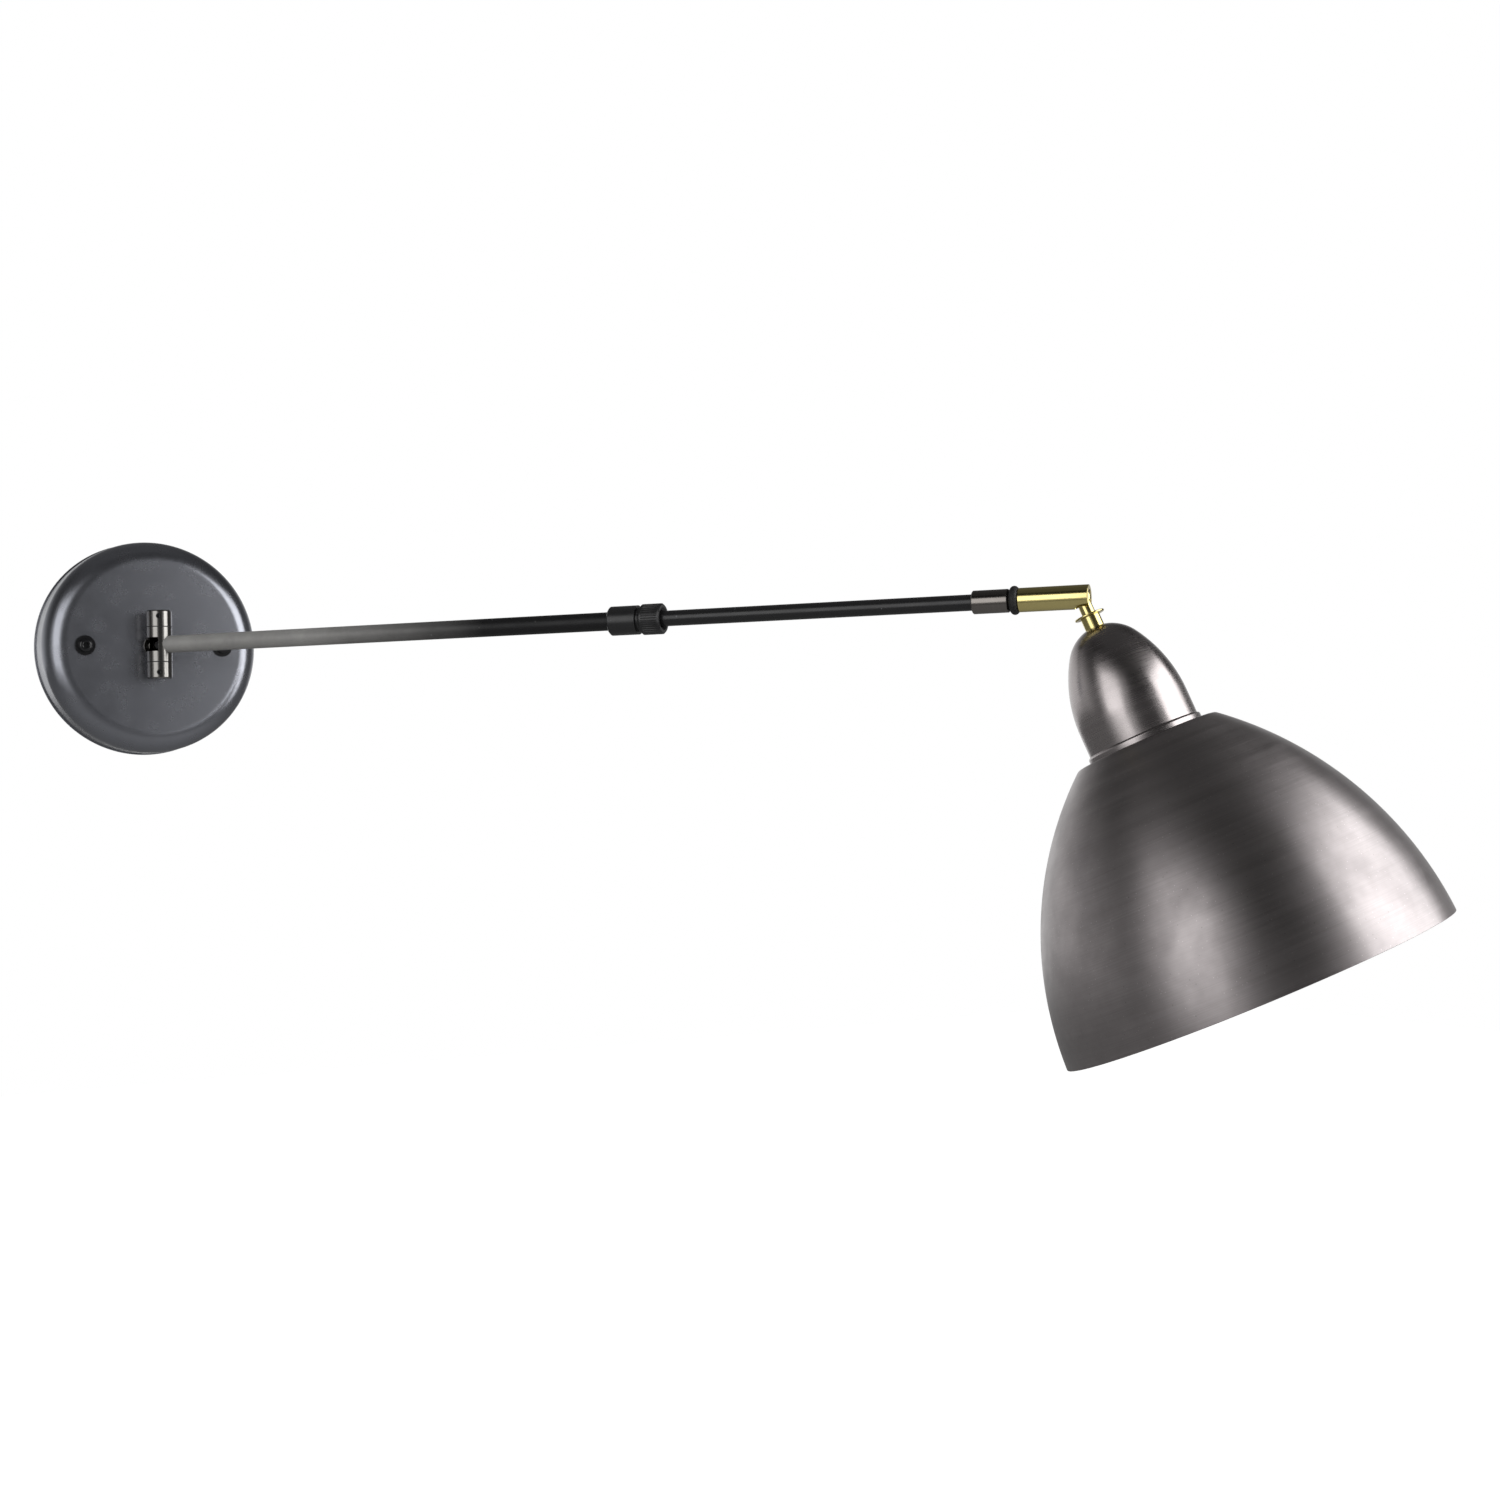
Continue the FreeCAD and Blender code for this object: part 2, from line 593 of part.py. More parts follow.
def make_hinge_caps():
    base = size.sleeve_height / 2 + size.hinge_washer_thickness
    top = base + size.cap_height
    bore = size.axle_radius + size.thread_gap
    floor = top - size.cap_floor
    grub_height = top - size.grub_inset
    grub_end = size.barrel_radius
    grubs = []
    for side, flip in (("upper", 0), ("lower", 180)):
        blank = turned(f"{side}_cap_blank", [
            (bore, base),
            (size.barrel_radius, base),
            (size.barrel_radius, top - size.cap_chamfer),
            (size.barrel_radius - size.cap_chamfer, top),
            (0, top),
            (0, floor),
            (bore, floor),
        ])
        outward = Rotation(X_AXIS, 90)
        hole = cylinder(f"{side}_grub_hole", size.grub_radius + size.thread_gap,
                        size.barrel_radius + size.cut_margin, z=grub_height, turn=outward)
        grub_start = bore + size.thread_gap
        grub = cylinder(f"{side}_grub_blank", size.grub_radius, size.grub_length,
                        y=-grub_start, z=grub_height, turn=outward)
        key = prism(f"{side}_grub_key", size.grub_socket_radius * math.sqrt(3), grub_end,
                    y=-(grub_start + size.grub_length - size.grub_socket_depth), z=grub_height,
                    turn=outward)
        flipped = hinge_frame * rotated(Z_AXIS, size.grub_turn.value) * rotated(Y_AXIS, flip)
        node(cut(f"{side}_cap", blank, [hole]), f"hinge_cap_{side}", flipped)
        piece = cut(f"{side}_grub", grub, [key])
        grubs.append((piece, flipped))
    for side, (piece, frame) in zip(("upper", "lower"), grubs):
        node(piece, f"cap_grub_screw_{side}", frame)


def make_hinge_washers():
    base = size.sleeve_height / 2
    for side, low in (("upper", base), ("lower", -(base + size.hinge_washer_thickness))):
        node(ring(f"hinge_washer_{side}", size.axle_radius + size.running_gap,
                  size.barrel_radius - size.hinge_washer_inset, low,
                  low + size.hinge_washer_thickness), f"hinge_washer_{side}", hinge_frame)


def make_hinge_sleeve():
    half = size.sleeve_height / 2 - size.thread_gap
    blank = ring("sleeve_blank", size.axle_radius + size.running_gap, size.barrel_radius,
                 -half, half)
    slot_height = size.stem_neck_radius * 2 + size.sleeve_slot_gap * 2
    slot = hinge_sector("sleeve_slot", slot_height, size.sleeve_slot_angle, 90)
    hole = cylinder("sleeve_nipple_hole", size.arm_nipple_radius + size.thread_gap,
                    size.barrel_radius * 2, turn=Rotation(X_AXIS, 90))
    node(cut("hinge_sleeve", blank, [slot, hole]), "hinge_sleeve", swing_frame)


# ---------------------------------------------------------------- arm
def make_arm_nipple():
    bore = size.arm_nipple_bore_radius
    body = size.outer_tube_radius - size.outer_tube_wall - size.thread_gap
    node(turned("arm_nipple", [
        (bore, size.arm_nipple_start),
        (size.arm_nipple_radius, size.arm_nipple_start),
        (size.arm_nipple_radius, size.arm_nipple_step),
        (body, size.arm_nipple_step),
        (body, size.arm_nipple_end),
        (bore, size.arm_nipple_end),
    ]), "arm_nipple", arm_frame)


def tube_bore():
    return size.outer_tube_radius - size.outer_tube_wall


def make_outer_tube():
    end = size.collar_start + size.collar_socket_depth - size.thread_gap
    blank = ring("outer_tube_blank", tube_bore(), size.outer_tube_radius, 0, end)
    barrel = cylinder("tube_saddle", size.barrel_radius + size.thread_gap, size.barrel_radius * 4,
                      x=-(size.barrel_radius * 2), turn=Rotation(Y_AXIS, 90))
    node(cut("outer_tube", blank, [barrel]), "outer_tube", arm_frame)


def collar_end():
    return size.collar_start + size.collar_length


def make_collar():
    shoulder = size.collar_start + size.collar_socket_depth
    collar_bore = size.inner_tube_radius + size.collar_bore_gap
    nose = collar_end() + size.nose_length
    seat = nose - size.collet_seat_depth
    socket = size.outer_tube_radius + size.thread_gap
    seat_radius = size.collet_radius + size.thread_gap
    node(turned("clamp_collar", [
        (socket, size.collar_start),
        (size.collar_radius - size.collar_chamfer, size.collar_start),
        (size.collar_radius, size.collar_start + size.collar_chamfer),
        (size.collar_radius, collar_end()),
        (size.nose_radius, collar_end()),
        (size.nose_radius, nose),
        (seat_radius, nose),
        (seat_radius, seat),
        (collar_bore, seat),
        (collar_bore, shoulder),
        (socket, shoulder),
    ]), "clamp_collar", arm_frame)
    start = seat + size.thread_gap
    end = start + size.collet_length
    bore = size.inner_tube_radius + size.running_gap
    blank = turned("collet_blank", [
        (bore, start),
        (size.collet_radius, start),
        (size.collet_radius, end - size.collet_nose),
        (size.collet_radius - size.collet_nose, end),
        (bore, end),
    ])
    slit = box("collet_slit", size.collar_radius, size.collet_slit, size.collet_length * 2,
               0, -(size.collet_slit / 2), start - size.cut_margin)
    node(cut("clamp_collet", blank, [slit]), "clamp_collet", arm_frame)


def make_lock_ring():
    start = collar_end() + size.ring_gap
    end = start + size.ring_length
    thread = size.nose_radius + size.running_gap
    shoulder = start + size.ring_thread_depth
    lead_in = size.ring_chamfer / 2
    body = turned("lock_ring", [
        (thread, start),
        (size.ring_radius - lead_in, start),
        (size.ring_radius, start + lead_in),
        (size.ring_radius, end - size.ring_chamfer),
        (size.ring_radius - size.ring_chamfer, end),
        (size.ring_recess_radius, end),
        (size.ring_hole_radius, end - size.ring_recess_depth),
        (size.ring_hole_radius, shoulder + size.ring_cone_height),
        (thread, shoulder),
    ])
    doc.recompute()
    sketch = new_sketch(body, "ring_groove_outline", "XY_Plane")
    circle = Part.Circle(Vector(size.ring_radius.value, 0, 0), Z_AXIS,
                         size.ring_groove_radius.value)
    sketch.addGeometry(circle, False)
    radius = sketch.addConstraint(
        Sketcher.Constraint("Radius", 0, size.ring_groove_radius.value))
    across = sketch.addConstraint(
        Sketcher.Constraint("DistanceX", 0, 3, size.ring_radius.value))
    sketch.addConstraint(Sketcher.Constraint("PointOnObject", 0, 3, -1))
    bind(sketch, f"Constraints[{radius}]", size.ring_groove_radius)
    bind(sketch, f"Constraints[{across}]", size.ring_radius)
    bind(sketch, "AttachmentOffset.Base.z", start + size.ring_groove_margin)
    groove = body.newObject("PartDesign::Pocket", "ring_groove")
    groove.Profile = sketch
    groove.Reversed = True
    bind(groove, "Length", size.ring_length - size.ring_groove_margin * 2)
    doc.recompute()
    pattern = body.newObject("PartDesign::PolarPattern", "ring_grooves")
    pattern.Originals = [groove]
    pattern.Axis = (origin_plane(body, "Z_Axis"), [""])
    pattern.Angle = 360
    bind(pattern, "Occurrences", size.ring_groove_count)
    body.Tip = pattern
    node(body, "lock_ring", arm_frame)


def inner_tube_back():
    """Where the inner tube starts: its bush meets the collar's shoulder at full reach."""
    shoulder = size.collar_start + size.collar_socket_depth
    return shoulder - size.slide_out - size.stop_gap - size.bush_length


def make_inner_tube():
    back = inner_tube_back()
    bore = size.inner_tube_radius - size.inner_tube_wall
    node(ring("inner_tube", bore, size.inner_tube_radius, back, size.inner_tube_end),
         "inner_tube", arm_frame)
    node(ring("guide_bush", size.inner_tube_radius + size.thread_gap,
              tube_bore() - size.running_gap, back, back + size.bush_length),
         "guide_bush", arm_frame)


def make_ferrule():
    socket = size.inner_tube_radius + size.thread_gap
    wall = size.ferrule_end - size.ferrule_wall
    chamber = size.inner_tube_end + size.ferrule_end_gap
    hole = size.spigot_radius + size.running_gap
    edge = size.ferrule_chamfer
    node(turned("ferrule", [
        (socket, size.ferrule_start),
        (size.ferrule_radius - edge / 2, size.ferrule_start),
        (size.ferrule_radius, size.ferrule_start + edge / 2),
        (size.ferrule_radius, size.ferrule_end - edge),
        (size.ferrule_radius - edge, size.ferrule_end),
        (hole, size.ferrule_end),
        (hole, wall),
        (size.ferrule_chamber_radius, wall),
        (size.ferrule_chamber_radius, chamber),
        (socket, chamber),
    ]), "ferrule", arm_frame)


# ---------------------------------------------------------------- swivel
def make_swivel_plug():
    shoulder = size.housing_start + size.plug_inset
    plug = size.housing_bore_radius - size.thread_gap
    end = shoulder + size.plug_length
    clip_end = size.clip_start + size.clip_thickness
    groove = size.clip_groove_radius
    node(turned("swivel_plug", [
        (size.spigot_bore_radius, size.spigot_start),
        (size.spigot_radius, size.spigot_start),
        (size.spigot_radius, size.clip_start),
        (groove, size.clip_start),
        (groove, clip_end),
        (size.spigot_radius, clip_end),
        (size.spigot_radius, shoulder),
        (plug, shoulder),
        (plug, end),
        (size.spigot_bore_radius, end),
    ]), "swivel_plug", swivel_frame)
    clip = ring("clip_blank", groove + size.thread_gap, size.clip_radius,
                size.clip_start + size.thread_gap, clip_end - size.thread_gap)
    mouth = box("clip_mouth", size.clip_radius * 2, size.clip_mouth_width,
                size.clip_thickness + size.cut_margin * 2,
                0, -(size.clip_mouth_width / 2), size.clip_start - size.cut_margin)
    node(cut("retaining_clip", clip, [mouth]), "retaining_clip", swivel_frame)


def make_friction_ring():
    start = size.housing_start - size.oring_gap - size.oring_width
    end = start + size.oring_width
    belly = size.oring_radius - size.oring_width / 2
    middle = start + size.oring_width / 2
    node(turned("friction_ring", [
        (size.oring_inner_radius, start + size.oring_gap),
        (belly, start),
        (size.oring_radius, middle, size.oring_width / 2, "ccw"),
        (belly, end, size.oring_width / 2, "ccw"),
        (size.oring_inner_radius, end - size.oring_gap),
    ]), "friction_ring", swivel_frame)


def make_swivel_housing():
    bore = size.housing_bore_radius
    mouth = size.neck_radius + size.neck_slot_gap
    lip = size.pivot_station + hypotenuse_leg(bore, mouth)
    edge = size.housing_edge
    shell = turned("housing_shell", [
        (bore, size.housing_start),
        (size.housing_radius - edge, size.housing_start),
        (size.housing_radius, size.housing_start + edge),
        (size.housing_radius, size.housing_end - edge),
        (size.housing_radius - edge, size.housing_end),
        (mouth, size.housing_end),
        (mouth, lip),
        (bore, size.pivot_station, bore, "cw"),
    ])
    slot = box("neck_slot", size.housing_radius * 2, mouth * 2, size.housing_radius * 2,
               0, -mouth, size.pivot_station)
    slot_end = cylinder("neck_slot_end", mouth, size.housing_radius * 2, z=size.pivot_station,
                        turn=Rotation(Y_AXIS, 90))
    node(cut("swivel_housing", shell, [slot, slot_end]), "swivel_housing", swivel_frame)


def make_ball_springs():
    bore = size.follower_bore_radius
    outer = size.housing_bore_radius - size.spring_gap
    follower_start = size.pivot_station - size.follower_back
    front = size.neck_radius + size.follower_neck_gap
    follower_end = size.pivot_station - front
    seat = size.ball_radius + size.running_gap
    hollow = size.pivot_station - hypotenuse_leg(seat, bore)
    rim = hypotenuse_leg(seat, front)
    node(turned("ball_follower", [
        (bore, follower_start),
        (outer, follower_start),
        (outer, follower_end),
        (rim, follower_end),
        (bore, hollow, seat, "cw"),
    ]), "ball_follower", swivel_frame)
    start = size.housing_start + size.plug_inset + size.plug_length
    stack = []
    thickness = size.disc_spring_thickness
    pitch = (follower_start - start) / size.disc_spring_count
    for number in range(int(size.disc_spring_count.value)):
        low = start + pitch * number
        rise = size.disc_spring_rise
        near, far = (rise, 0) if number % 2 == 0 else (0, rise)
        stack.append(turned(f"disc_spring_{number + 1}", [
            (bore, low + near),
            (outer, low + far),
            (outer, low + far + thickness),
            (bore, low + near + thickness),
        ]))
    node(together("disc_springs", stack), "disc_springs", swivel_frame)


# ---------------------------------------------------------------- head
def make_ball_stem():
    neck = size.neck_radius
    ball = size.ball_radius
    blank = turned("ball_stem_blank", [
        (0, -ball),
        (neck, hypotenuse_leg(ball, neck), ball, "ccw"),
        (neck, size.flange_height),
        (size.shank_radius, size.flange_height),
        (size.shank_radius, size.shank_end),
        (0, size.shank_end),
    ])
    wire = size.ball_wire_radius
    bore = cylinder("ball_bore", wire, size.shank_end + size.cut_margin)
    mouth = box("ball_mouth", ball + wire, wire * 2, ball + wire, -wire, -wire, -ball)
    node(cut("ball_stem", blank, [bore, mouth]), "ball_stem", head_frame)


def cup_pad_height():
    """Height of the small flat on top of the cup."""
    centre = size.cup_apex + size.cup_crown_radius
    return centre - hypotenuse_leg(size.cup_crown_radius, size.cup_pad_radius)


def cup_inner_pad_radius():
    """Radius of the flat inside the cup's top."""
    crown = size.cup_crown_radius
    centre = size.cup_apex + crown
    return hypotenuse_leg(crown - size.cup_wall, centre - cup_pad_height() - size.cup_wall)


def make_neck_pieces():
    bore = size.shank_radius + size.thread_gap
    bush_top = size.flange_height + size.flange_thickness
    node(ring("stem_flange", bore, size.flange_radius, size.flange_height, bush_top),
         "stem_flange", head_frame)
    node(ring("cup_bush", bore, size.bush_radius, bush_top, cup_pad_height()),
         "cup_bush", head_frame)
    inside = cup_pad_height() + size.cup_wall
    nut = inside + size.cup_washer_thickness
    washer_radius = cup_inner_pad_radius() - size.cup_washer_gap
    node(ring("cup_washer", bore, washer_radius, inside, nut), "cup_washer", head_frame)
    node(hex_nut("cup_nut", size.cup_nut_across, bore, nut, size.cup_nut_thickness),
         "cup_nut", head_frame)


def make_cup():
    crown = size.cup_crown_radius
    crown_centre = size.cup_apex + crown
    drop = size.cup_shoulder - crown_centre
    radius = size.cup_radius
    side = (radius * radius + drop * drop - crown * crown) / ((radius - crown) * 2)
    side_centre = radius - side
    run = side - crown
    pad = cup_pad_height()
    wall = size.cup_wall
    rim = size.shade_top - size.thread_gap
    lip = radius + size.cup_lip

    def meeting(reach):
        """Where crown and side arcs meet, for the outer skin or the inner one."""
        return (-side_centre / run * reach + side_centre, size.cup_shoulder - drop / run * reach)

    inner_pad = cup_inner_pad_radius()
    hole = size.shank_radius + size.thread_gap
    node(turned("cup", [
        (hole, pad + wall),
        (hole, pad),
        (size.cup_pad_radius, pad),
        (*meeting(side), crown, "ccw"),
        (radius, size.cup_shoulder, side, "ccw"),
        (radius, rim - size.cup_lip_height),
        (lip, rim - size.cup_lip_height),
        (lip, rim),
        (radius - wall, rim),
        (radius - wall, size.cup_shoulder),
        (*meeting(side - wall), side - wall, "cw"),
        (inner_pad, pad + wall, crown - wall, "cw"),
    ]), "cup", head_frame)


def make_shade():
    """The flat top is as wide as the cup needs, and the side arc runs from it to the rim."""
    top = size.shade_top
    rim = top + size.shade_height
    big = size.shade_side_radius
    corner = size.shade_corner
    wall = size.shade_wall
    corner_radius = size.cup_radius + size.cup_lip + size.shade_top_margin
    inward = worked_out("shade_taper", size.shade_rim_radius - corner_radius)
    upward = worked_out("shade_corner_rise", rim - top - corner)
    span = worked_out("shade_span", (inward * inward + upward * upward).root())
    near = big - corner
    along = worked_out("shade_along", (span * span + big * big - near * near) / (span * 2))
    aside = worked_out("shade_aside", hypotenuse_leg(big, along))
    centre_radius = worked_out(
        "shade_centre_radius",
        size.shade_rim_radius - along * inward / span - aside * upward / span,
    )
    centre_height = worked_out(
        "shade_centre_height", rim - along * upward / span + aside * inward / span)

    def shoulder(radius):
        """Where the corner arc meets the side arc of that radius."""
        return (centre_radius + (corner_radius - centre_radius) / near * radius,
                centre_height - (centre_height - top - corner) / near * radius)

    hole = size.holder_radius + size.shade_hole_gap
    inner_rim = centre_radius + hypotenuse_leg(big - wall, centre_height - rim)
    node(turned("shade", [
        (hole, top),
        (corner_radius, top),
        (*shoulder(big), corner, "ccw"),
        (size.shade_rim_radius, rim, big, "ccw"),
        (inner_rim, rim),
        (*shoulder(big - wall), big - wall, "cw"),
        (corner_radius, top + wall, corner - wall, "cw"),
        (hole, top + wall),
    ]), "shade", head_frame)


def contact_seat():
    """Floor of the pocket under the lamp's thread that holds the centre contact."""
    well = size.holder_start + size.holder_floor
    stack = size.contact_plate_thickness + size.contact_height + size.contact_gap
    return well - stack


def make_lampholder():
    cap_top = size.holder_cap_top
    cap = size.holder_cap_radius
    wall = size.holder_cap_wall
    crown = size.holder_cap_crown
    bore = size.shank_radius + size.thread_gap
    boss_end = cap_top + size.holder_cap_boss
    base = size.shade_top
    node(turned("lampholder_cap", [
        (bore, cap_top),
        (cap - crown, cap_top),
        (cap, cap_top + crown, crown, "ccw"),
        (cap, base),
        (cap - wall, base),
        (cap - wall, cap_top + crown),
        (cap - crown, cap_top + wall, crown - wall, "cw"),
        (size.holder_cap_boss_radius, cap_top + wall),
        (size.holder_cap_boss_radius, boss_end),
        (bore, boss_end),
    ]), "lampholder_cap", head_frame)
    start = size.holder_start
    end = size.holder_end
    well = start + size.holder_floor
    seat = contact_seat()
    pocket = size.contact_plate_radius + size.contact_pocket_gap
    shell_outer = size.shell_radius + size.shell_wall
    recess = shell_outer + size.shell_gap
    node(turned("lampholder_body", [
        (size.lead_radius + size.lead_end_gap, start),
        (size.holder_radius, start),
        (size.holder_radius, end),
        (recess, end),
        (recess, well),
        (pocket, well),
        (pocket, seat),
        (size.lead_radius + size.lead_end_gap, seat),
    ]), "lampholder_body", head_frame)
    plate_top = seat + size.contact_plate_thickness
    node(ring("socket_shell", size.shell_radius, shell_outer, well,
              well + size.shell_length), "socket_shell", head_frame)
    node(turned("centre_contact", [
        (0, seat),
        (size.contact_plate_radius, seat),
        (size.contact_plate_radius, plate_top),
        (size.contact_radius, plate_top),
        (size.contact_radius, plate_top + size.contact_height),
        (0, plate_top + size.contact_height),
    ]), "centre_contact", head_frame)


def make_shade_ring():
    low = size.shade_top + size.shade_wall
    high = low + size.shade_ring_height
    edge = size.shade_ring_chamfer
    bore = size.holder_radius + size.thread_gap
    node(turned("shade_ring", [
        (bore, low),
        (size.shade_ring_radius, low),
        (size.shade_ring_radius, high - edge),
        (size.shade_ring_radius - edge, high),
        (bore, high),
    ]), "shade_ring", head_frame)


# ---------------------------------------------------------------- leads inside the lamp
def make_mains_lead():
    """From the terminal block's inner face, round one bend and out through the stem."""
    radius = size.mains_lead_radius.value
    bend = size.mains_lead_bend.value
    depth = size.mains_lead_depth.value
    start = -(size.block_offset - size.block_width / 2).value
    tip = (size.hinge_reach - size.lead_gap).value
    corner = math.sqrt(0.5) * bend
    run_in = Part.LineSegment(Vector(start, 0, depth), Vector(-bend, 0, depth))
    turn = Part.Arc(Vector(-bend, 0, depth), Vector(-bend + corner, 0, depth + bend - corner),
                    Vector(0, 0, depth + bend))
    run_out = Part.LineSegment(Vector(0, 0, depth + bend), Vector(0, 0, tip))
    path = Part.Wire([item.toShape() for item in (run_in, turn, run_out)])
    section = Part.Wire(Part.Circle(Vector(start, 0, depth), X_AXIS, radius).toShape())
    lead = doc.addObject("Part::Feature", "mains_lead")
    lead.Shape = path.makePipeShell([section], True, False)
    node(lead, "mains_lead", wall_frame)


def make_leads():
    lead = size.lead_radius
    node(rod("arm_lead", lead, size.lead_gap, size.arm_lead_end), "arm_lead", arm_frame)
    node(rod("tube_lead", lead, inner_tube_back(), size.spigot_start - size.lead_end_gap),
         "tube_lead", arm_frame)
    behind_ball = size.pivot_station - size.ball_radius - size.lead_end_gap
    node(rod("swivel_lead", lead, size.spigot_start, behind_ball), "swivel_lead", swivel_frame)
    node(rod("head_lead", lead, size.lead_gap, contact_seat()), "head_lead", head_frame)


def make_all():
    make_wall_plate()
    make_pillars()
    make_canopy()
    make_canopy_screws()
    make_terminal_block()
    make_earth_screw()
    make_stem()
    make_hinge_axle()
    make_hinge_caps()
    make_hinge_washers()
    make_hinge_sleeve()
    make_arm_nipple()
    make_outer_tube()
    make_collar()
    make_lock_ring()
    make_inner_tube()
    make_ferrule()
    make_swivel_plug()
    make_friction_ring()
    make_swivel_housing()
    make_ball_springs()
    make_ball_stem()
    make_neck_pieces()
    make_cup()
    make_shade()
    make_lampholder()
    make_shade_ring()
    make_mains_lead()
    make_leads()


def failures():
    found = [obj.Label for obj in doc.Objects if {"Invalid", "Error"} & set(obj.State)]
    for obj in nodes:
        if obj.Shape.isNull() or not obj.Shape.isValid() or not obj.Shape.Solids:
            found.append(obj.Label)
    return found


make_all()
doc.recompute()
broken = failures()
if broken:
    sys.exit("not built: " + ", ".join(sorted(set(broken))))
os.makedirs("parts", exist_ok=True)
for obj in nodes:
    obj.Shape.exportStep(f"parts/{obj.Label}.step")
print(len(nodes), "nodes")
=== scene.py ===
import json
import math

import bmesh
import bpy
import numpy as np
from bpy.props import FloatProperty, FloatVectorProperty, IntProperty, PointerProperty
from bpy.types import Operator, Panel, PropertyGroup
from mathutils import Matrix, Vector


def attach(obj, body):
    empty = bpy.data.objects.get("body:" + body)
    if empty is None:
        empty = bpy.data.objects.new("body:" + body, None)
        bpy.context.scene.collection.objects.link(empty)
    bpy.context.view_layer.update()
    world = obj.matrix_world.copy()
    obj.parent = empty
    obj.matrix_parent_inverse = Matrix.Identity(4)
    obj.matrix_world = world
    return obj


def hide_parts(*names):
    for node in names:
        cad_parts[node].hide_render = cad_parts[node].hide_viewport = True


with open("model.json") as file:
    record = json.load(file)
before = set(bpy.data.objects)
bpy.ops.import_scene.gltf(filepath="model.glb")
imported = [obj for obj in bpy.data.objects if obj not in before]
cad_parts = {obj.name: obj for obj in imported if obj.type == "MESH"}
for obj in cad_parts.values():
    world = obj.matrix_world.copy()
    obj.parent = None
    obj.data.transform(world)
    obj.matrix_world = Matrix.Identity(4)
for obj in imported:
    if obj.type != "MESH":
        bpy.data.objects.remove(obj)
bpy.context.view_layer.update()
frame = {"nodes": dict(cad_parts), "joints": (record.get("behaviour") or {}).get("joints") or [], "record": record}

bl_info = {
    "name": "Articulating wall lamp",
    "version": (1, 0, 0),
    "blender": (4, 5, 0),
    "location": "3D View > Sidebar > Wall Lamp",
    "description": "Turned metal pieces and finishes of a wall lamp with a swinging, sliding arm",
    "category": "Object",
}

# Metres, +Z up. The origin is the centre of the canopy's wall face, the lamp stands towards -Y.
MM = 0.001


# ---------------------------------------------------------------- sizes and colours
def length(name, millimetres, description):
    """A size in metres whose default is given in millimetres."""
    return FloatProperty(name=name, description=description, default=millimetres * MM,
                         min=0.0, unit="LENGTH")


def angle(name, degrees, description):
    return FloatProperty(name=name, description=description, default=math.radians(degrees),
                         unit="ROTATION")


def count(name, number, description):
    return IntProperty(name=name, description=description, default=number, min=1)


def share(name, value, description):
    return FloatProperty(name=name, description=description, default=value, min=0.0, max=1.0,
                         subtype="FACTOR")


def colour(name, red, green, blue, description):
    return FloatVectorProperty(name=name, description=description, default=(red, green, blue),
                               size=3, min=0.0, max=1.0, subtype="COLOR")


class WallSizes(PropertyGroup):
    """Canopy, its screws and the stem."""

    canopy_wall: length("Canopy wall", 1.2, "Thickness of the pressed canopy")
    canopy_lip: length("Canopy lip", 0.7, "How far the lip at the wall stands out")
    canopy_lip_height: length("Canopy lip height", 1.4, "Height of the lip at the wall")
    canopy_shoulder: length("Canopy shoulder", 12.0, "Radius of the rounded shoulder")
    screw_offset: length("Screw offset", 38.0, "From the canopy's centre to each screw")
    screw_shank: length("Screw shank", 2.0, "Radius of the screw's shank")
    screw_head: length("Screw head", 3.8, "Radius of the domed head over its flange")
    screw_head_height: length("Screw head height", 3.0, "Height of the head with its flange")
    screw_head_edge: length("Screw head edge", 0.5, "Straight side of the domed head")
    screw_flange: length("Screw flange", 0.9, "Thickness of the flange under the head")
    screw_socket: length("Screw socket", 1.75, "Half width across the socket's corners")
    screw_socket_depth: length("Screw socket depth", 1.6, "Depth of the six-sided socket")
    socket_lip: length("Screw socket lip", 0.12, "Chamfer round the socket's mouth")
    stem_flange: length("Stem flange", 1.2, "Thickness of the flange on the canopy's face")
    stem_neck: length("Stem neck", 3.3, "Radius of the neck that carries the hinge")
    stem_thread: length("Stem thread", 5.0, "Radius of the threaded part in the canopy")


class HingeSizes(PropertyGroup):
    """Barrel, caps and their grub screws."""

    cap_chamfer: length("Cap chamfer", 0.7, "Chamfer round the end of each cap")
    cap_floor: length("Cap floor", 2.0, "Thickness of the closed end of each cap")
    grub_inset: length("Grub screw inset", 3.4, "From the cap's end to the screw's centre")
    grub_socket: length("Grub screw socket", 0.7, "Half width across the socket's corners")
    grub_socket_depth: length("Grub screw socket depth", 0.7, "Depth of the socket")
    grub_lip: length("Grub screw socket lip", 0.08, "Chamfer round the socket's mouth")
    grub_clearance: length("Grub screw clearance", 0.12, "Gap round each grub screw")
    grub_turn: angle("Grub screw turn", -16.0, "Where the screws face, from straight out")
    slot_gap: length("Slot gap", 0.5, "Gap above and below the stem in the sleeve's slot")
    slot_turn: angle("Slot turn", 239.0, "How far the sleeve's slot goes round")


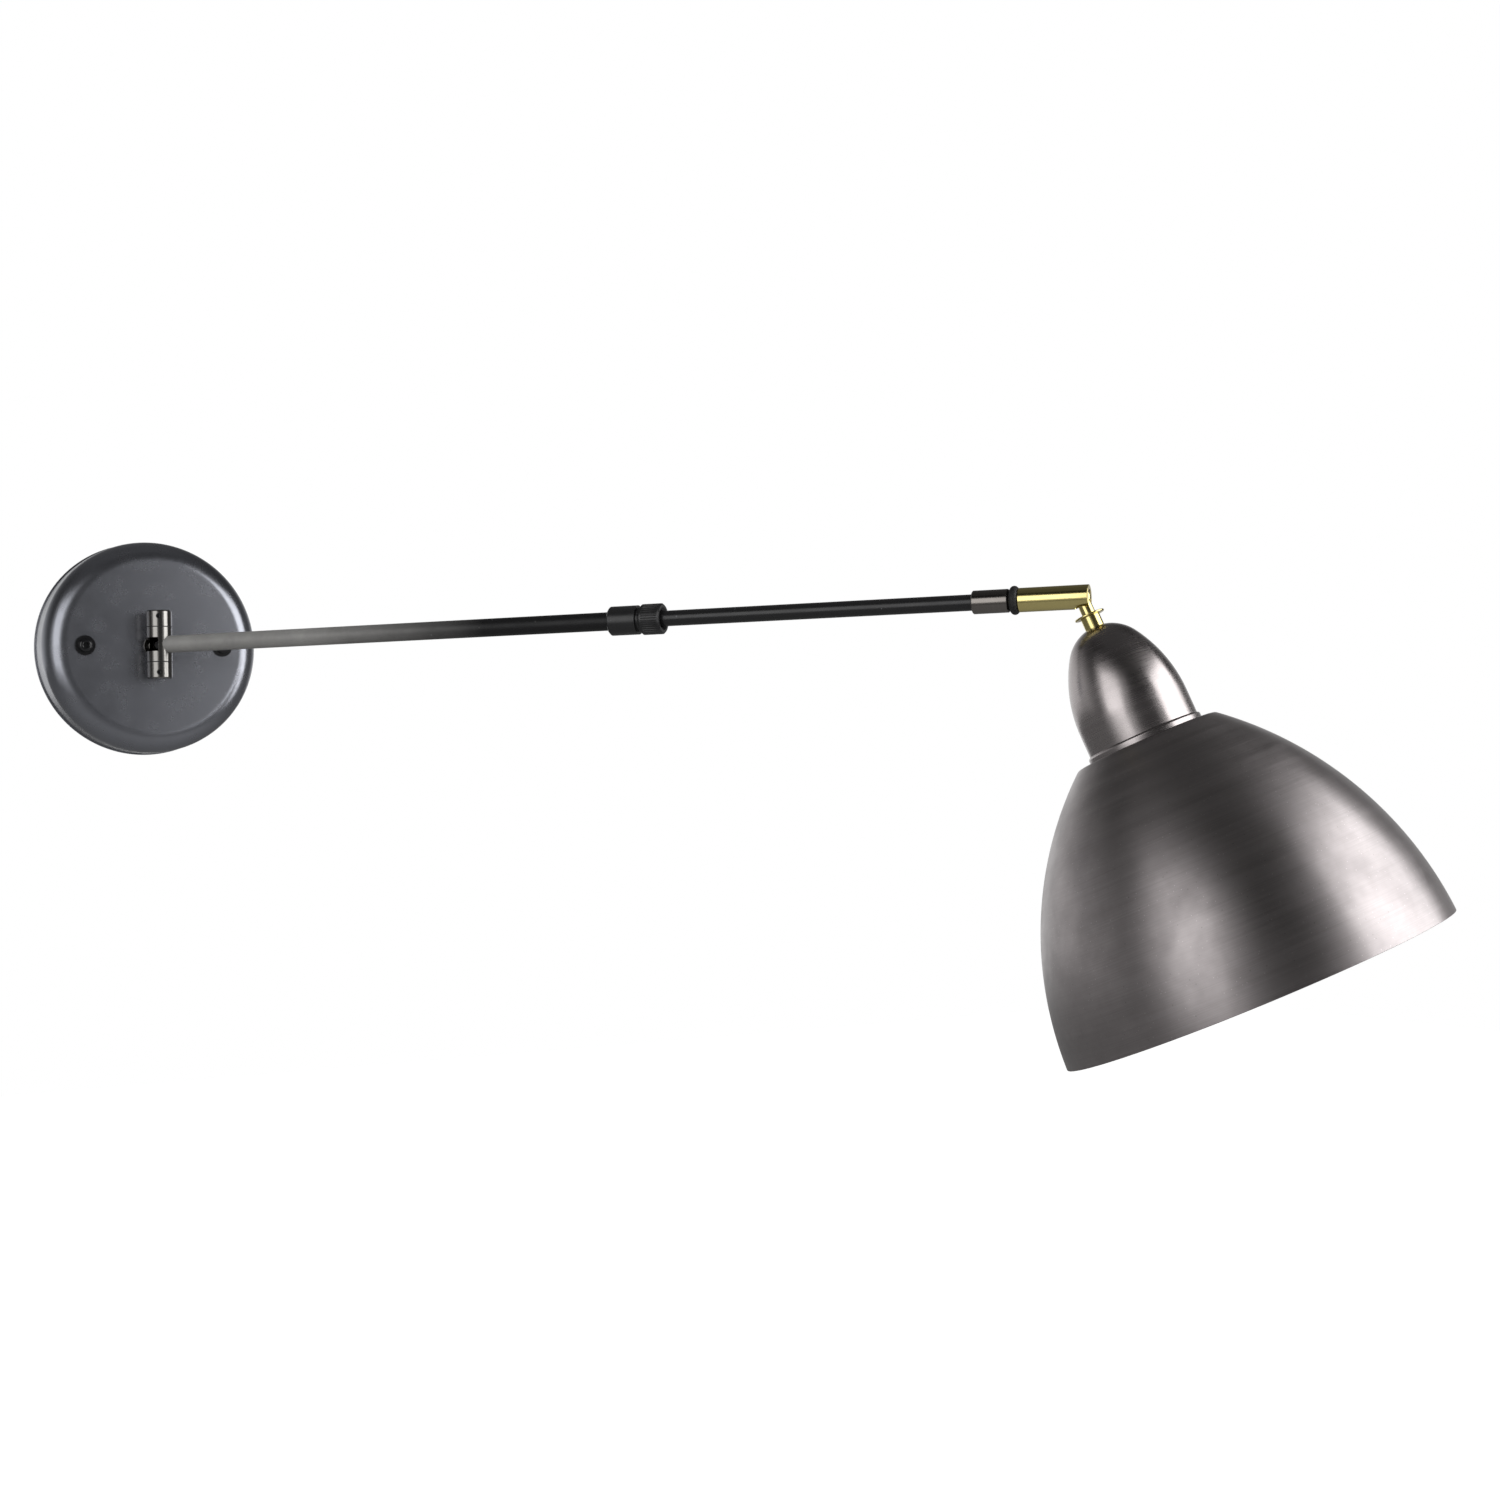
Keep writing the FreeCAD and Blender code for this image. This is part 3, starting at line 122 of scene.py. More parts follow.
class ArmSizes(PropertyGroup):
    """Tubes, collar, lock ring and ferrule."""

    tube_wall: length("Tube wall", 0.45, "Wall of the outer tube")
    saddle_gap: length("Saddle gap", 0.02, "Between the outer tube's end and the barrel")
    collar_body: length("Collar body", 15.4, "Length of the collar without its nose")
    collar_socket: length("Collar socket", 12.5, "Depth of the socket for the outer tube")
    collar_chamfer: length("Collar chamfer", 0.7, "Chamfer of the collar")
    nose_radius: length("Nose radius", 6.1, "Radius of the collar's threaded nose")
    nose_pitch: length("Nose pitch", 1.0, "Pitch of the thread on the nose")
    nose_ridge: length("Nose ridge", 0.22, "Depth of the thread on the nose")
    groove_count: count("Grip grooves", 40, "Grooves round the lock ring")
    groove_radius: length("Groove radius", 0.28, "Depth of each groove")
    groove_margin: length("Groove margin", 1.6, "Plain band at each end of the lock ring")
    groove_run_out: length("Groove run-out", 0.35, "Length over which each groove fades")
    ring_chamfer: length("Ring chamfer", 0.7, "Chamfer of the lock ring")
    ring_lip: length("Ring lip", 2.2, "Length of the ring in front of its thread")
    ring_cone: length("Ring cone", 0.48, "Height of the cone behind the lip")
    ring_hole: length("Ring hole", 4.5, "Radius of the lock ring's hole")
    ring_recess: length("Ring recess", 5.8, "Radius of the recess in the ring's front")
    ring_recess_depth: length("Ring recess depth", 1.4, "Depth of that recess")
    inner_wall: length("Inner tube wall", 0.6, "Wall of the inner tube")
    ferrule_chamfer: length("Ferrule chamfer", 0.8, "Chamfer at the ferrule's front")
    ferrule_floor: length("Ferrule floor", 3.3, "Thickness of the ferrule's closed end")


class SwivelSizes(PropertyGroup):
    """Rubber ring, housing and ball."""

    housing_edge: length("Housing edge", 0.35, "Rounding of the housing's ends")
    slot_width: length("Slot width", 7.2, "Width of the slot that the neck tilts in")
    ball_radius: length("Ball radius", 4.75, "Radius of the ball")
    neck_radius: length("Neck radius", 3.3, "Radius of the neck under the ball")
    bore_radius: length("Bore radius", 1.9, "Radius of the bore for the lead")


class HeadSizes(PropertyGroup):
    """Flange, cup, shade and lampholder."""

    cup_crown: length("Cup crown", 20.0, "Radius of the cup's crown")
    cup_apex: length("Cup apex", 15.7, "From the ball to where the crown would close")
    cup_shoulder: length("Cup shoulder", 60.7, "From the ball to the cup's widest height")
    cup_radius: length("Cup radius", 27.2, "Largest radius above the lip")
    cup_lip: length("Cup lip", 1.1, "How far the cup's lip stands out")
    cup_lip_height: length("Cup lip height", 3.4, "Height of the cup's lip")
    cup_wall: length("Cup wall", 1.0, "Wall of the cup")
    shade_side: length("Shade side", 173.2, "Radius of the shade's curved side")
    shade_top_margin: length("Shade top margin", 5.531, "Flat top beyond the cup's lip")
    shade_corner: length("Shade corner", 3.0, "Rounding between the top and the side")
    shade_wall: length("Shade wall", 1.0, "Wall of the shade")
    holder_cap_wall: length("Lampholder cap wall", 2.2, "Wall of the lampholder's cap")
    holder_cap_crown: length("Lampholder cap crown", 12.0, "Rounding of the cap's top")
    holder_cap_boss: length("Cap boss", 6.0, "Radius and height of the boss in the cap")
    recess_gap: length("Recess gap", 0.35, "Between the threaded shell and the ceramic")
    pocket_gap: length("Pocket gap", 0.3, "Round the contact in its pocket")
    contact_disc: length("Contact disc", 0.5, "Thickness of the contact's disc")
    contact_button: length("Contact button", 3.0, "Radius of the contact's button")
    contact_top: length("Contact top", 2.7, "Radius of the button's domed top")
    contact_dome: length("Contact dome", 6.0, "Radius of curvature of that top")
    contact_rise: length("Contact rise", 0.4, "Height of that top")
    ring_edge: length("Ring edge", 1.0, "Chamfer of the shade ring")
    thread_pitch: length("Lamp thread pitch", 3.6, "Pitch of the thread that takes the bulb")
    thread_depth: length("Lamp thread depth", 0.55, "Half the depth of that thread")
    skirt_pitch: length("Skirt thread pitch", 2.5, "Pitch of the thread for the shade ring")
    skirt_depth: length("Skirt thread depth", 0.25, "Depth of the thread for the shade ring")
    rib_count: count("Grip ribs", 48, "Ribs round the shade ring")
    rib_depth: length("Rib depth", 0.45, "Depth of the ring's ribs")


class FinishColours(PropertyGroup):
    """Colours of the finishes."""

    lacquer: colour("Canopy lacquer", 0.255, 0.262, 0.290, "Blue-grey satin lacquer")
    gunmetal: colour("Gunmetal", 0.225, 0.218, 0.208, "Polished hinge barrel")
    # Painted light and shade on the outer tube: its grey lacquer is lighter near the hinge and darkens to
    # near-black towards the collar.
    tube_lit_near_hinge: colour("Tube near hinge", 0.33, 0.325, 0.315, "Grey lacquer near the hinge")
    tube_shaded_near_collar: colour("Tube near collar", 0.012, 0.012, 0.013, "Grey lacquer near the collar")
    black: colour("Satin black", 0.020, 0.020, 0.021, "Collar, lock ring and inner tube")
    gloss_black: colour("Gloss black", 0.008, 0.008, 0.009, "Canopy screws")
    bronze: colour("Dark bronze", 0.200, 0.185, 0.172, "Ferrule")
    rubber: colour("Rubber", 0.012, 0.012, 0.012, "Friction ring")
    brass: colour("Polished brass", 0.69, 0.59, 0.25, "Swivel, neck, flange and bush")
    cup: colour("Cup pewter", 0.37, 0.340, 0.338, "Polished dark pewter")
    shade: colour("Shade pewter", 0.315, 0.290, 0.291, "Brushed pewter")
    bakelite: colour("Bakelite", 0.030, 0.024, 0.022, "Lampholder cap and ring")
    ceramic: colour("Ceramic", 0.78, 0.76, 0.70, "Lampholder body")
    nickel: colour("Nickel", 0.66, 0.63, 0.56, "Lampholder's shell and contact")
    zinc: colour("Zinc", 0.60, 0.61, 0.62, "Wall plate and pillars")
    nylon: colour("White nylon", 0.80, 0.80, 0.76, "Terminal block")
    black_nylon: colour("Black nylon", 0.018, 0.018, 0.018, "Washers and bushes")
    sheath: colour("Lead sheath", 0.045, 0.045, 0.047, "Leads")


class StageSettings(PropertyGroup):
    """Camera, floor and lamps."""

    camera_place: FloatVectorProperty(
        name="Camera place", description="Where the camera stands", unit="LENGTH",
        default=(-0.30032, -1.26287, -0.09184))
    camera_azimuth: angle("Camera azimuth", -28.77, "Round the lamp, from straight in front")
    camera_elevation: angle("Camera elevation", -1.22, "Above the horizon")
    camera_roll: angle("Camera roll", -1.33, "About the line of sight")
    camera_lens: FloatProperty(name="Lens", description="Focal length in millimetres",
                               default=52.8, unit="CAMERA")
    floor_drop: length("Floor drop", 800.0, "From the canopy's centre down to the floor")
    floor_size: length("Floor size", 9000.0, "Length of the floor's side")
    floor_tone: share("Floor tone", 0.38, "Grey of the floor")
    floor_lift: share("Floor lift", 0.90, "What is added where the camera sees the floor")
    ambient: share("Ambient light", 0.42, "Level of the light from all round")
    dark_side: share("Dark side", 0.09, "What gloss shows of the room behind the camera")
    steep_side: share("Steep side", 0.15, "How much of that is left far above")
    sky_level: share("Overhead", 0.06, "What gloss shows straight above")


GROUPS = {
    "lamp_wall": WallSizes,
    "lamp_hinge": HingeSizes,
    "lamp_arm": ArmSizes,
    "lamp_swivel": SwivelSizes,
    "lamp_head": HeadSizes,
    "lamp_colours": FinishColours,
    "lamp_stage": StageSettings,
}


# ---------------------------------------------------------------- places on the frame
def unit(vector):
    vector = np.array(vector, float)
    return vector / np.linalg.norm(vector)


class Place:
    """An origin and three axes; the columns of axes are X, Y and Z."""

    def __init__(self, origin, z_axis, y_axis):
        self.origin = np.array(origin, float)
        z_axis = unit(z_axis)
        y_axis = unit(np.array(y_axis, float) - z_axis * np.dot(y_axis, z_axis))
        self.axes = np.column_stack((np.cross(y_axis, z_axis), y_axis, z_axis))

    def outward(self, points):
        """Local points in the lamp's frame: origin + axes * point."""
        return points @ self.axes.T + self.origin

    def inward(self, points):
        """The lamp's points in this place: transposed axes * (point - origin)."""
        return (points - self.origin) @ self.axes

    def mapping(self):
        return Vector(self.origin), Matrix(self.axes.tolist()).to_euler()


JOINTS = {joint["name"]: joint for joint in frame["joints"]}
MOUNTS = {mount["name"]: mount for mount in frame["record"]["mounts"]}
UP = np.array((0.0, 0.0, 1.0))
HINGE = np.array(JOINTS["arm_swing"]["pos_m"], float)
PIVOT = np.array(JOINTS["head_tilt"]["pos_m"], float)
ALONG_ARM = unit(JOINTS["arm_slide"]["axis"])
TILT_AXIS = unit(JOINTS["head_tilt"]["axis"])
DOWN_SHADE = unit(MOUNTS["lamp_socket"]["axis"])

WALL = Place((0, 0, 0), (0, -1, 0), UP)
SWING = Place(HINGE, UP, -ALONG_ARM)
ARM = Place(HINGE, ALONG_ARM, np.cross(ALONG_ARM, -UP))
SWIVEL = Place(HINGE, ALONG_ARM, TILT_AXIS)
HEAD = Place(PIVOT, DOWN_SHADE, TILT_AXIS)


class Extent:
    """How far a CAD node reaches along and about a place's Z axis."""

    def __init__(self, name, place):
        mesh = frame["nodes"][name].data
        flat = np.empty(len(mesh.vertices) * 3, np.float32)
        mesh.vertices.foreach_get("co", flat)
        local = place.inward(flat.reshape(-1, 3).astype(float))
        radius = np.hypot(local[:, 0], local[:, 1])
        self.node, self.place = name, place
        self.low, self.high = local[:, 2].min(), local[:, 2].max()
        self.inner, self.outer = radius.min(), radius.max()


# ---------------------------------------------------------------- surfaces
POLE = 1e-7
ARC_STEP = 0.13
EDGE_STEPS = 3
EDGE_ANGLE = math.radians(28)
CREASE_ANGLE = math.radians(32)


def arc_points(start, end, radius, turn, step):
    """Points of the short arc after start: centre + radius * (cos a, sin a), a evenly spaced."""
    chord = end - start
    rise = math.sqrt(max(radius**2 - np.dot(chord, chord) / 4, 0.0))
    side = np.array((-chord[1], chord[0])) / np.linalg.norm(chord)
    centre = (start + end) / 2 + side * (rise if turn == "ccw" else -rise)
    first = math.atan2(*(start - centre)[::-1])
    last = math.atan2(*(end - centre)[::-1])
    sweep = (last - first + math.pi) % (2 * math.pi) - math.pi
    number = max(3, math.ceil(abs(sweep) * radius / step), math.ceil(abs(sweep) / ARC_STEP))
    angles = first + sweep * np.arange(1, number + 1) / number
    return centre + radius * np.column_stack((np.cos(angles), np.sin(angles)))


def outline_points(corners, step):
    """The closed outline as an array of (radius, height).

    A corner (radius, height) is reached by a line; (radius, height, bend, turn) by an arc.
    """
    spots = [np.array(corner[:2], float) for corner in corners]
    stretches = [spots[0][None]]
    for before, here, corner in zip(spots, spots[1:], corners[1:]):
        if len(corner) == 2:
            stretches.append(here[None])
        else:
            stretches.append(arc_points(before, here, corner[2], corner[3], step))
    points = np.concatenate(stretches)
    following = np.roll(points, -1, axis=0)
    area = np.sum(points[:, 0] * following[:, 1] - following[:, 0] * points[:, 1])
    return points if area > 0 else points[::-1]


def grid_faces(rows, columns):
    """Corner numbers of the quads of a grid that closes on itself both ways."""
    row, column = np.meshgrid(np.arange(rows), np.arange(columns), indexing="ij")
    next_row, next_column = (row + 1) % rows, (column + 1) % columns
    corners = ((row, column), (row, next_column), (next_row, next_column), (next_row, column))
    return np.stack([r * columns + c for r, c in corners], axis=-1).reshape(-1, 4)


def closed_mesh(name, points, faces, corner_uv):
    """A mesh from arrays, its poles merged and its flat faces dropped."""
    mesh = bpy.data.meshes.new(name)
    mesh.from_pydata(points.astype(np.float32), [], faces)
    layer = mesh.uv_layers.new(name="around")
    layer.data.foreach_set("uv", corner_uv.astype(np.float32).ravel())
    work = bmesh.new()
    work.from_mesh(mesh)
    bmesh.ops.remove_doubles(work, verts=work.verts, dist=POLE)
    work.to_mesh(mesh)
    work.free()
    mesh.polygons.foreach_set("use_smooth", np.ones(len(mesh.polygons), bool))
    return mesh


def shown(name, mesh, slot, body, *nodes, edge=None):
    """Puts a piece in the scene: its finish, softened edges, body and the nodes it stands for."""
    piece = bpy.data.objects.new(name, mesh)
    bpy.context.scene.collection.objects.link(piece)
    mesh.materials.append(finish_named(slot))
    if edge:
        bevel = piece.modifiers.new("soft edges", "BEVEL")
        bevel.width = edge
        bevel.segments = EDGE_STEPS
        bevel.limit_method = "ANGLE"
        bevel.angle_limit = EDGE_ANGLE
        bevel.harden_normals = True
        bevel.use_clamp_overlap = True
    else:
        mesh.set_sharp_from_angle(angle=CREASE_ANGLE)
    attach(piece, body)
    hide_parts(*nodes)


def revolve(points, place, around, warp=None):
    """Points, faces and UVs of an outline carried round a place's Z axis.

    The point of outline point (r, h) at angle a is (r cos a, r sin a, h). warp(r, h, a) may
    return another r and h. U runs along the outline and V round the axis.
    """
    turn = np.arange(around) * 2 * math.pi / around
    radius, sweep = np.meshgrid(points[:, 0], turn, indexing="ij")
    height = np.broadcast_to(points[:, 1][:, None], radius.shape)
    if warp:
        radius, height = warp(radius, height, sweep)
    local = np.stack((radius * np.cos(sweep), radius * np.sin(sweep), height), axis=-1)
    steps = np.linalg.norm(np.roll(points, -1, axis=0) - points, axis=1)
    along = np.concatenate(((0.0,), np.cumsum(steps)))
    rows = len(points)
    row, column = np.divmod(np.arange(rows * around), around)
    u = np.stack((along[row], along[row], along[row + 1], along[row + 1]), axis=-1)
    v = np.stack((column, column + 1, column + 1, column), axis=-1) / around
    uv = np.stack((u / along[-1], v), axis=-1)
    return place.outward(local.reshape(-1, 3)), grid_faces(rows, around), uv.reshape(-1, 2)


def turned(name, corners, place, around=128, step=1.5 * MM, warp=None):
    """The closed mesh of a turned piece."""
    return closed_mesh(name, *revolve(outline_points(corners, step), place, around, warp))


def spun(name, slot, body, reach, corners, edge=None, **settings):
    """Puts a turned piece in the scene in place of the CAD node that its extent is read from."""
    mesh = turned(name, corners, reach.place, **settings)
    shown(name, mesh, slot, body, reach.node, edge=edge)


def plain_ring(reach):
    """The outline of a plain ring or tube that fills an extent."""
    return [(reach.inner, reach.low), (reach.outer, reach.low),
            (reach.outer, reach.high), (reach.inner, reach.high)]


def helix(height, sweep, pitch):
    """1 along a helix of that pitch and 0 half a pitch on: 0.5 + 0.5 cos(2 pi h / pitch - a)."""
    return 0.5 + 0.5 * np.cos(2 * math.pi * (height / pitch - sweep / (2 * math.pi)))


def faded(height, first, last, run, start=0.0):
    """start at both ends of first..last, rising to 1 at a rate of 1 per run."""
    return np.clip(np.minimum(height - first, last - height) / run + start, 0.0, 1.0)


def hexagon(sweep):
    """Radius of a six-sided outline of unit corner radius: cos 30 / cos(a mod 60 - 30)."""
    sixth = math.pi / 3
    return math.cos(sixth / 2) / np.cos(np.mod(sweep, sixth) - sixth / 2)


def joined(*parts):
    """Several (points, faces, uv) as one."""
    start = np.cumsum([0] + [len(points) for points, _, _ in parts[:-1]])
    points = np.concatenate([part[0] for part in parts])
    faces = np.concatenate([part[1] + first for part, first in zip(parts, start)])
    return points, faces, np.concatenate([part[2] for part in parts])


def socket_screw_points(place, shank, length_down, top, head, socket, depth, lip, around=72):
    """A screw with a six-sided socket; the underside of its head lies on the place's XY plane.

    head holds the corners from the edge of the socket's mouth to the shank. Outline points
    inside the socket follow the hexagon, all others the circle.
    """
    shell = outline_points([
        (socket + lip, top),
        *head,
        (shank, -length_down), (0, -length_down), (0, top - depth), (socket, top - depth),
        (socket, top - lip),
    ], 0.2 * MM)
    in_socket = (shell[:, 1] >= top - depth - POLE) & (shell[:, 0] <= socket + POLE)
    six_sided = in_socket[:, None]

    def warp(radius, height, sweep):
        return np.where(six_sided, radius * hexagon(sweep), radius), height

    return revolve(shell, place, around, warp)


def carved(mesh, cutter):
    """The mesh less the cutter mesh, computed exactly."""
    piece, tool = (bpy.data.objects.new(name, data)
                   for name, data in (("blank", mesh), ("cutter", cutter)))
    for extra in (piece, tool):
        bpy.context.scene.collection.objects.link(extra)
    cut = piece.modifiers.new("cut", "BOOLEAN")
    cut.operation = "DIFFERENCE"
    cut.solver = "EXACT"
    cut.object = tool
    bpy.context.view_layer.update()
    result = bpy.data.meshes.new_from_object(
        piece.evaluated_get(bpy.context.evaluated_depsgraph_get()))
    for extra, used in ((piece, mesh), (tool, cutter)):
        bpy.data.objects.remove(extra)
        bpy.data.meshes.remove(used)
    result.name = "carved"
    result.polygons.foreach_set("use_smooth", np.ones(len(result.polygons), bool))
    return result


# ---------------------------------------------------------------- finishes
class Nodes:
    """Adds nodes to a tree; each input is a value or another node's socket."""

    def __init__(self, tree):
        self.tree = tree

    def add(self, kind, inputs=None, **settings):
        node = self.tree.nodes.new(kind)
        for setting, value in settings.items():
            setattr(node, setting, value)
        for socket, value in (inputs or {}).items():
            if isinstance(value, bpy.types.NodeSocket):
                self.tree.links.new(value, node.inputs[socket])
            else:
                node.inputs[socket].default_value = value
        return node

    def spread(self, value, low, high, to_low, to_high, **settings):
        """Maps low..high to to_low..to_high, held at both ends."""
        return self.add("ShaderNodeMapRange", {
            "Value": value, "From Min": low, "From Max": high,
            "To Min": to_low, "To Max": to_high,
        }, **settings).outputs["Result"]

    def sum(self, first, second, operation="ADD"):
        return self.add("ShaderNodeMath", {0: first, 1: second}, operation=operation).outputs[0]


class Finish(Nodes):
    """A node material under construction."""

    def __init__(self, name, colour_value, metallic, roughness, **sockets):
        self.material = bpy.data.materials.new(name)
        self.material.use_nodes = True
        super().__init__(self.material.node_tree)
        self.shader = self.tree.nodes["Principled BSDF"]
        self.base = (*colour_value, 1.0)
        self.material.diffuse_color = self.base
        self.shader.inputs["Base Color"].default_value = self.base
        self.shader.inputs["Metallic"].default_value = metallic
        self.shader.inputs["Roughness"].default_value = roughness
        for socket, value in sockets.items():
            self.shader.inputs[socket.replace("_", " ")].default_value = value

    def set(self, socket, source):
        self.tree.links.new(source, self.shader.inputs[socket])

    def local(self, place, scale=(1.0, 1.0, 1.0)):
        """Coordinates in a place's axes, each divided by its scale."""
        origin, turn = place.mapping()
        coordinates = self.add("ShaderNodeTexCoord")
        return self.add("ShaderNodeMapping", {
            "Vector": coordinates.outputs["Object"],
            "Location": origin,
            "Rotation": turn,
            "Scale": scale,
        }, vector_type="TEXTURE").outputs["Vector"]

    def noise(self, vector, scale, detail=3.0, rough=0.6):
        return self.add("ShaderNodeTexNoise", {
            "Vector": vector, "Scale": scale, "Detail": detail, "Roughness": rough,
        }).outputs["Fac"]

    def blend(self, amount, first, second):
        """first at amount 0, second at amount 1; either is a colour or a socket."""
        return self.add("ShaderNodeMix", {0: amount, 6: first, 7: second},
                        data_type="RGBA").outputs[2]

    def speckled(self, under, vector, size, cover, amount, tint):
        """A colour with round specks of a tint where a scattered point lies within cover."""
        cells = self.add("ShaderNodeTexVoronoi", {"Vector": vector, "Scale": 1.0 / size})
        speck = self.spread(cells.outputs["Distance"], cover, cover * 0.6, 0.0, 1.0)
        return self.blend(self.sum(speck, amount, "MULTIPLY"), under, tint)

    def bump(self, height, strength, distance):
        node = self.add("ShaderNodeBump", {
            "Height": height, "Strength": strength, "Distance": distance,
        })
        self.set("Normal", node.outputs["Normal"])

    def along_outline(self):
        """Turns the shader's grain so that highlights stretch along the outline."""
        tangent = self.add("ShaderNodeTangent", direction_type="UV_MAP", uv_map="around")
        self.set("Tangent", tangent.outputs["Tangent"])


def shaded(base, factor):
    """A colour scaled by a factor."""
    return (*(min(channel * factor, 1.0) for channel in base[:3]), 1.0)


def turned_metal(name, colour_value, place, roughness, lines=0.35, line_width=0.18 * MM,
                 specks=0.0, grain=0.45, mottle=0.12, line_depth=0.006 * MM):
    """Metal brushed or polished round an axis.

    Noise that changes fast along the axis and slowly across it draws the brushing; broad noise
    mottles the tone and fine specks break it up.
    """
    finish = Finish(name, colour_value, 1.0, roughness, Anisotropic=grain)
    base = finish.base
    fine = finish.noise(finish.local(place, (60 * MM, 60 * MM, line_width)), 1.0, 2.0, 0.7)
    coarse = finish.noise(finish.local(place, (90 * MM, 90 * MM, line_width * 9)), 1.0, 3.0, 0.6)
    cloud = finish.noise(finish.local(place), 1 / (22 * MM), 3.0, 0.6)
    brushing = finish.sum(finish.sum(fine, 0.65, "MULTIPLY"), finish.sum(coarse, 0.35, "MULTIPLY"))
    toned = finish.blend(finish.spread(brushing, 0.3, 0.7, 0.0, 1.0),
                         shaded(base, 1 - lines / 2), shaded(base, 1 + lines / 2))
    clouded = finish.blend(finish.spread(cloud, 0.35, 0.65, 0.0, mottle), toned,
                           shaded(base, 0.62))
    if specks:
        clouded = finish.speckled(clouded, finish.local(place), 2.4 * MM, 0.10, specks,
                                  shaded(base, 2.1))
        clouded = finish.speckled(clouded, finish.local(place, (1.7, 1.3, 1.5)), 2.9 * MM, 0.08,
                                  specks, shaded(base, 0.45))
    finish.set("Base Color", clouded)
    wear = finish.sum(finish.spread(cloud, 0.3, 0.7, -0.03, 0.05),
                      finish.spread(brushing, 0.3, 0.7, roughness - 0.04, roughness + 0.05))
    finish.set("Roughness", wear)
    finish.bump(brushing, 0.35, line_depth)
    finish.along_outline()
    return finish.material


DUST = (0.42, 0.43, 0.46, 1)


def lacquered(name, colour_value, place, roughness, metallic, specks, far_colour=None,
              reach=1.0, **sockets):
    """Satin lacquer: a fine orange peel, soft mottling, and pale and dark specks of dust.

    With a far colour the tone changes along the place's Z axis until reach, which paints light and shade along the
    tube.
    """
    finish = Finish(name, colour_value, metallic, roughness, **sockets)
    tone = finish.base
    here = finish.local(place)
    # Painted light and shade: the tone runs from the lit near colour to the shaded far colour.
    if far_colour is not None:
        apart = finish.add("ShaderNodeSeparateXYZ", {"Vector": here})
        way = finish.spread(apart.outputs["Z"], reach * 0.45, reach, 0.0, 1.0)
        tone = finish.blend(way, finish.base, (*far_colour, 1.0))
    cloud = finish.noise(here, 1 / (14 * MM), 4.0, 0.65)
    grain = finish.noise(here, 1 / (0.55 * MM), 2.0, 0.6)
    clouded = finish.blend(finish.spread(cloud, 0.35, 0.7, 0.0, 0.22), tone,
                           shaded(far_colour or finish.base, 0.7))
    clouded = finish.speckled(clouded, here, 5.5 * MM, 0.06, specks, DUST)
    clouded = finish.speckled(clouded, finish.local(place, (1.4, 1.2, 1.3)), 5.5 * MM, 0.06,
                              specks * 1.2, shaded(finish.base, 0.3))
    finish.set("Base Color", clouded)
    finish.set("Roughness", finish.spread(cloud, 0.3, 0.7, roughness - 0.03, roughness + 0.06))
    finish.bump(grain, 0.25, 0.012 * MM)
    return finish.material


def moulded(name, colour_value, roughness, mottle=0.15):
    """Plastic, rubber or ceramic: a fine even grain and a slight change of tone."""
    finish = Finish(name, colour_value, 0.0, roughness)
    here = finish.local(WALL)
    cloud = finish.noise(here, 1 / (9 * MM), 3.0, 0.6)
    grain = finish.noise(here, 1 / (0.5 * MM), 2.0, 0.6)
    finish.set("Base Color", finish.blend(
        finish.spread(cloud, 0.3, 0.7, 0.0, 1.0),
        shaded(finish.base, 1 - mottle), shaded(finish.base, 1 + mottle)))
    finish.set("Roughness", finish.spread(grain, 0.3, 0.7, roughness - 0.05, roughness + 0.07))
    finish.bump(grain, 0.3, 0.01 * MM)
    return finish.material


def plated(name, colour_value, roughness):
    """Plain plated metal of the hidden pieces: soft blotches and a fine grain."""
    finish = Finish(name, colour_value, 1.0, roughness)
    here = finish.local(WALL)
    cloud = finish.noise(here, 1 / (6 * MM), 4.0, 0.65)
    grain = finish.noise(here, 1 / (0.4 * MM), 2.0, 0.6)
    finish.set("Base Color", finish.blend(
        finish.spread(cloud, 0.3, 0.7, 0.0, 1.0),
        shaded(finish.base, 0.78), shaded(finish.base, 1.12)))
    finish.set("Roughness", finish.spread(cloud, 0.3, 0.7, roughness - 0.06, roughness + 0.09))
    finish.bump(grain, 0.2, 0.006 * MM)
    return finish.material


FINISHES = {}


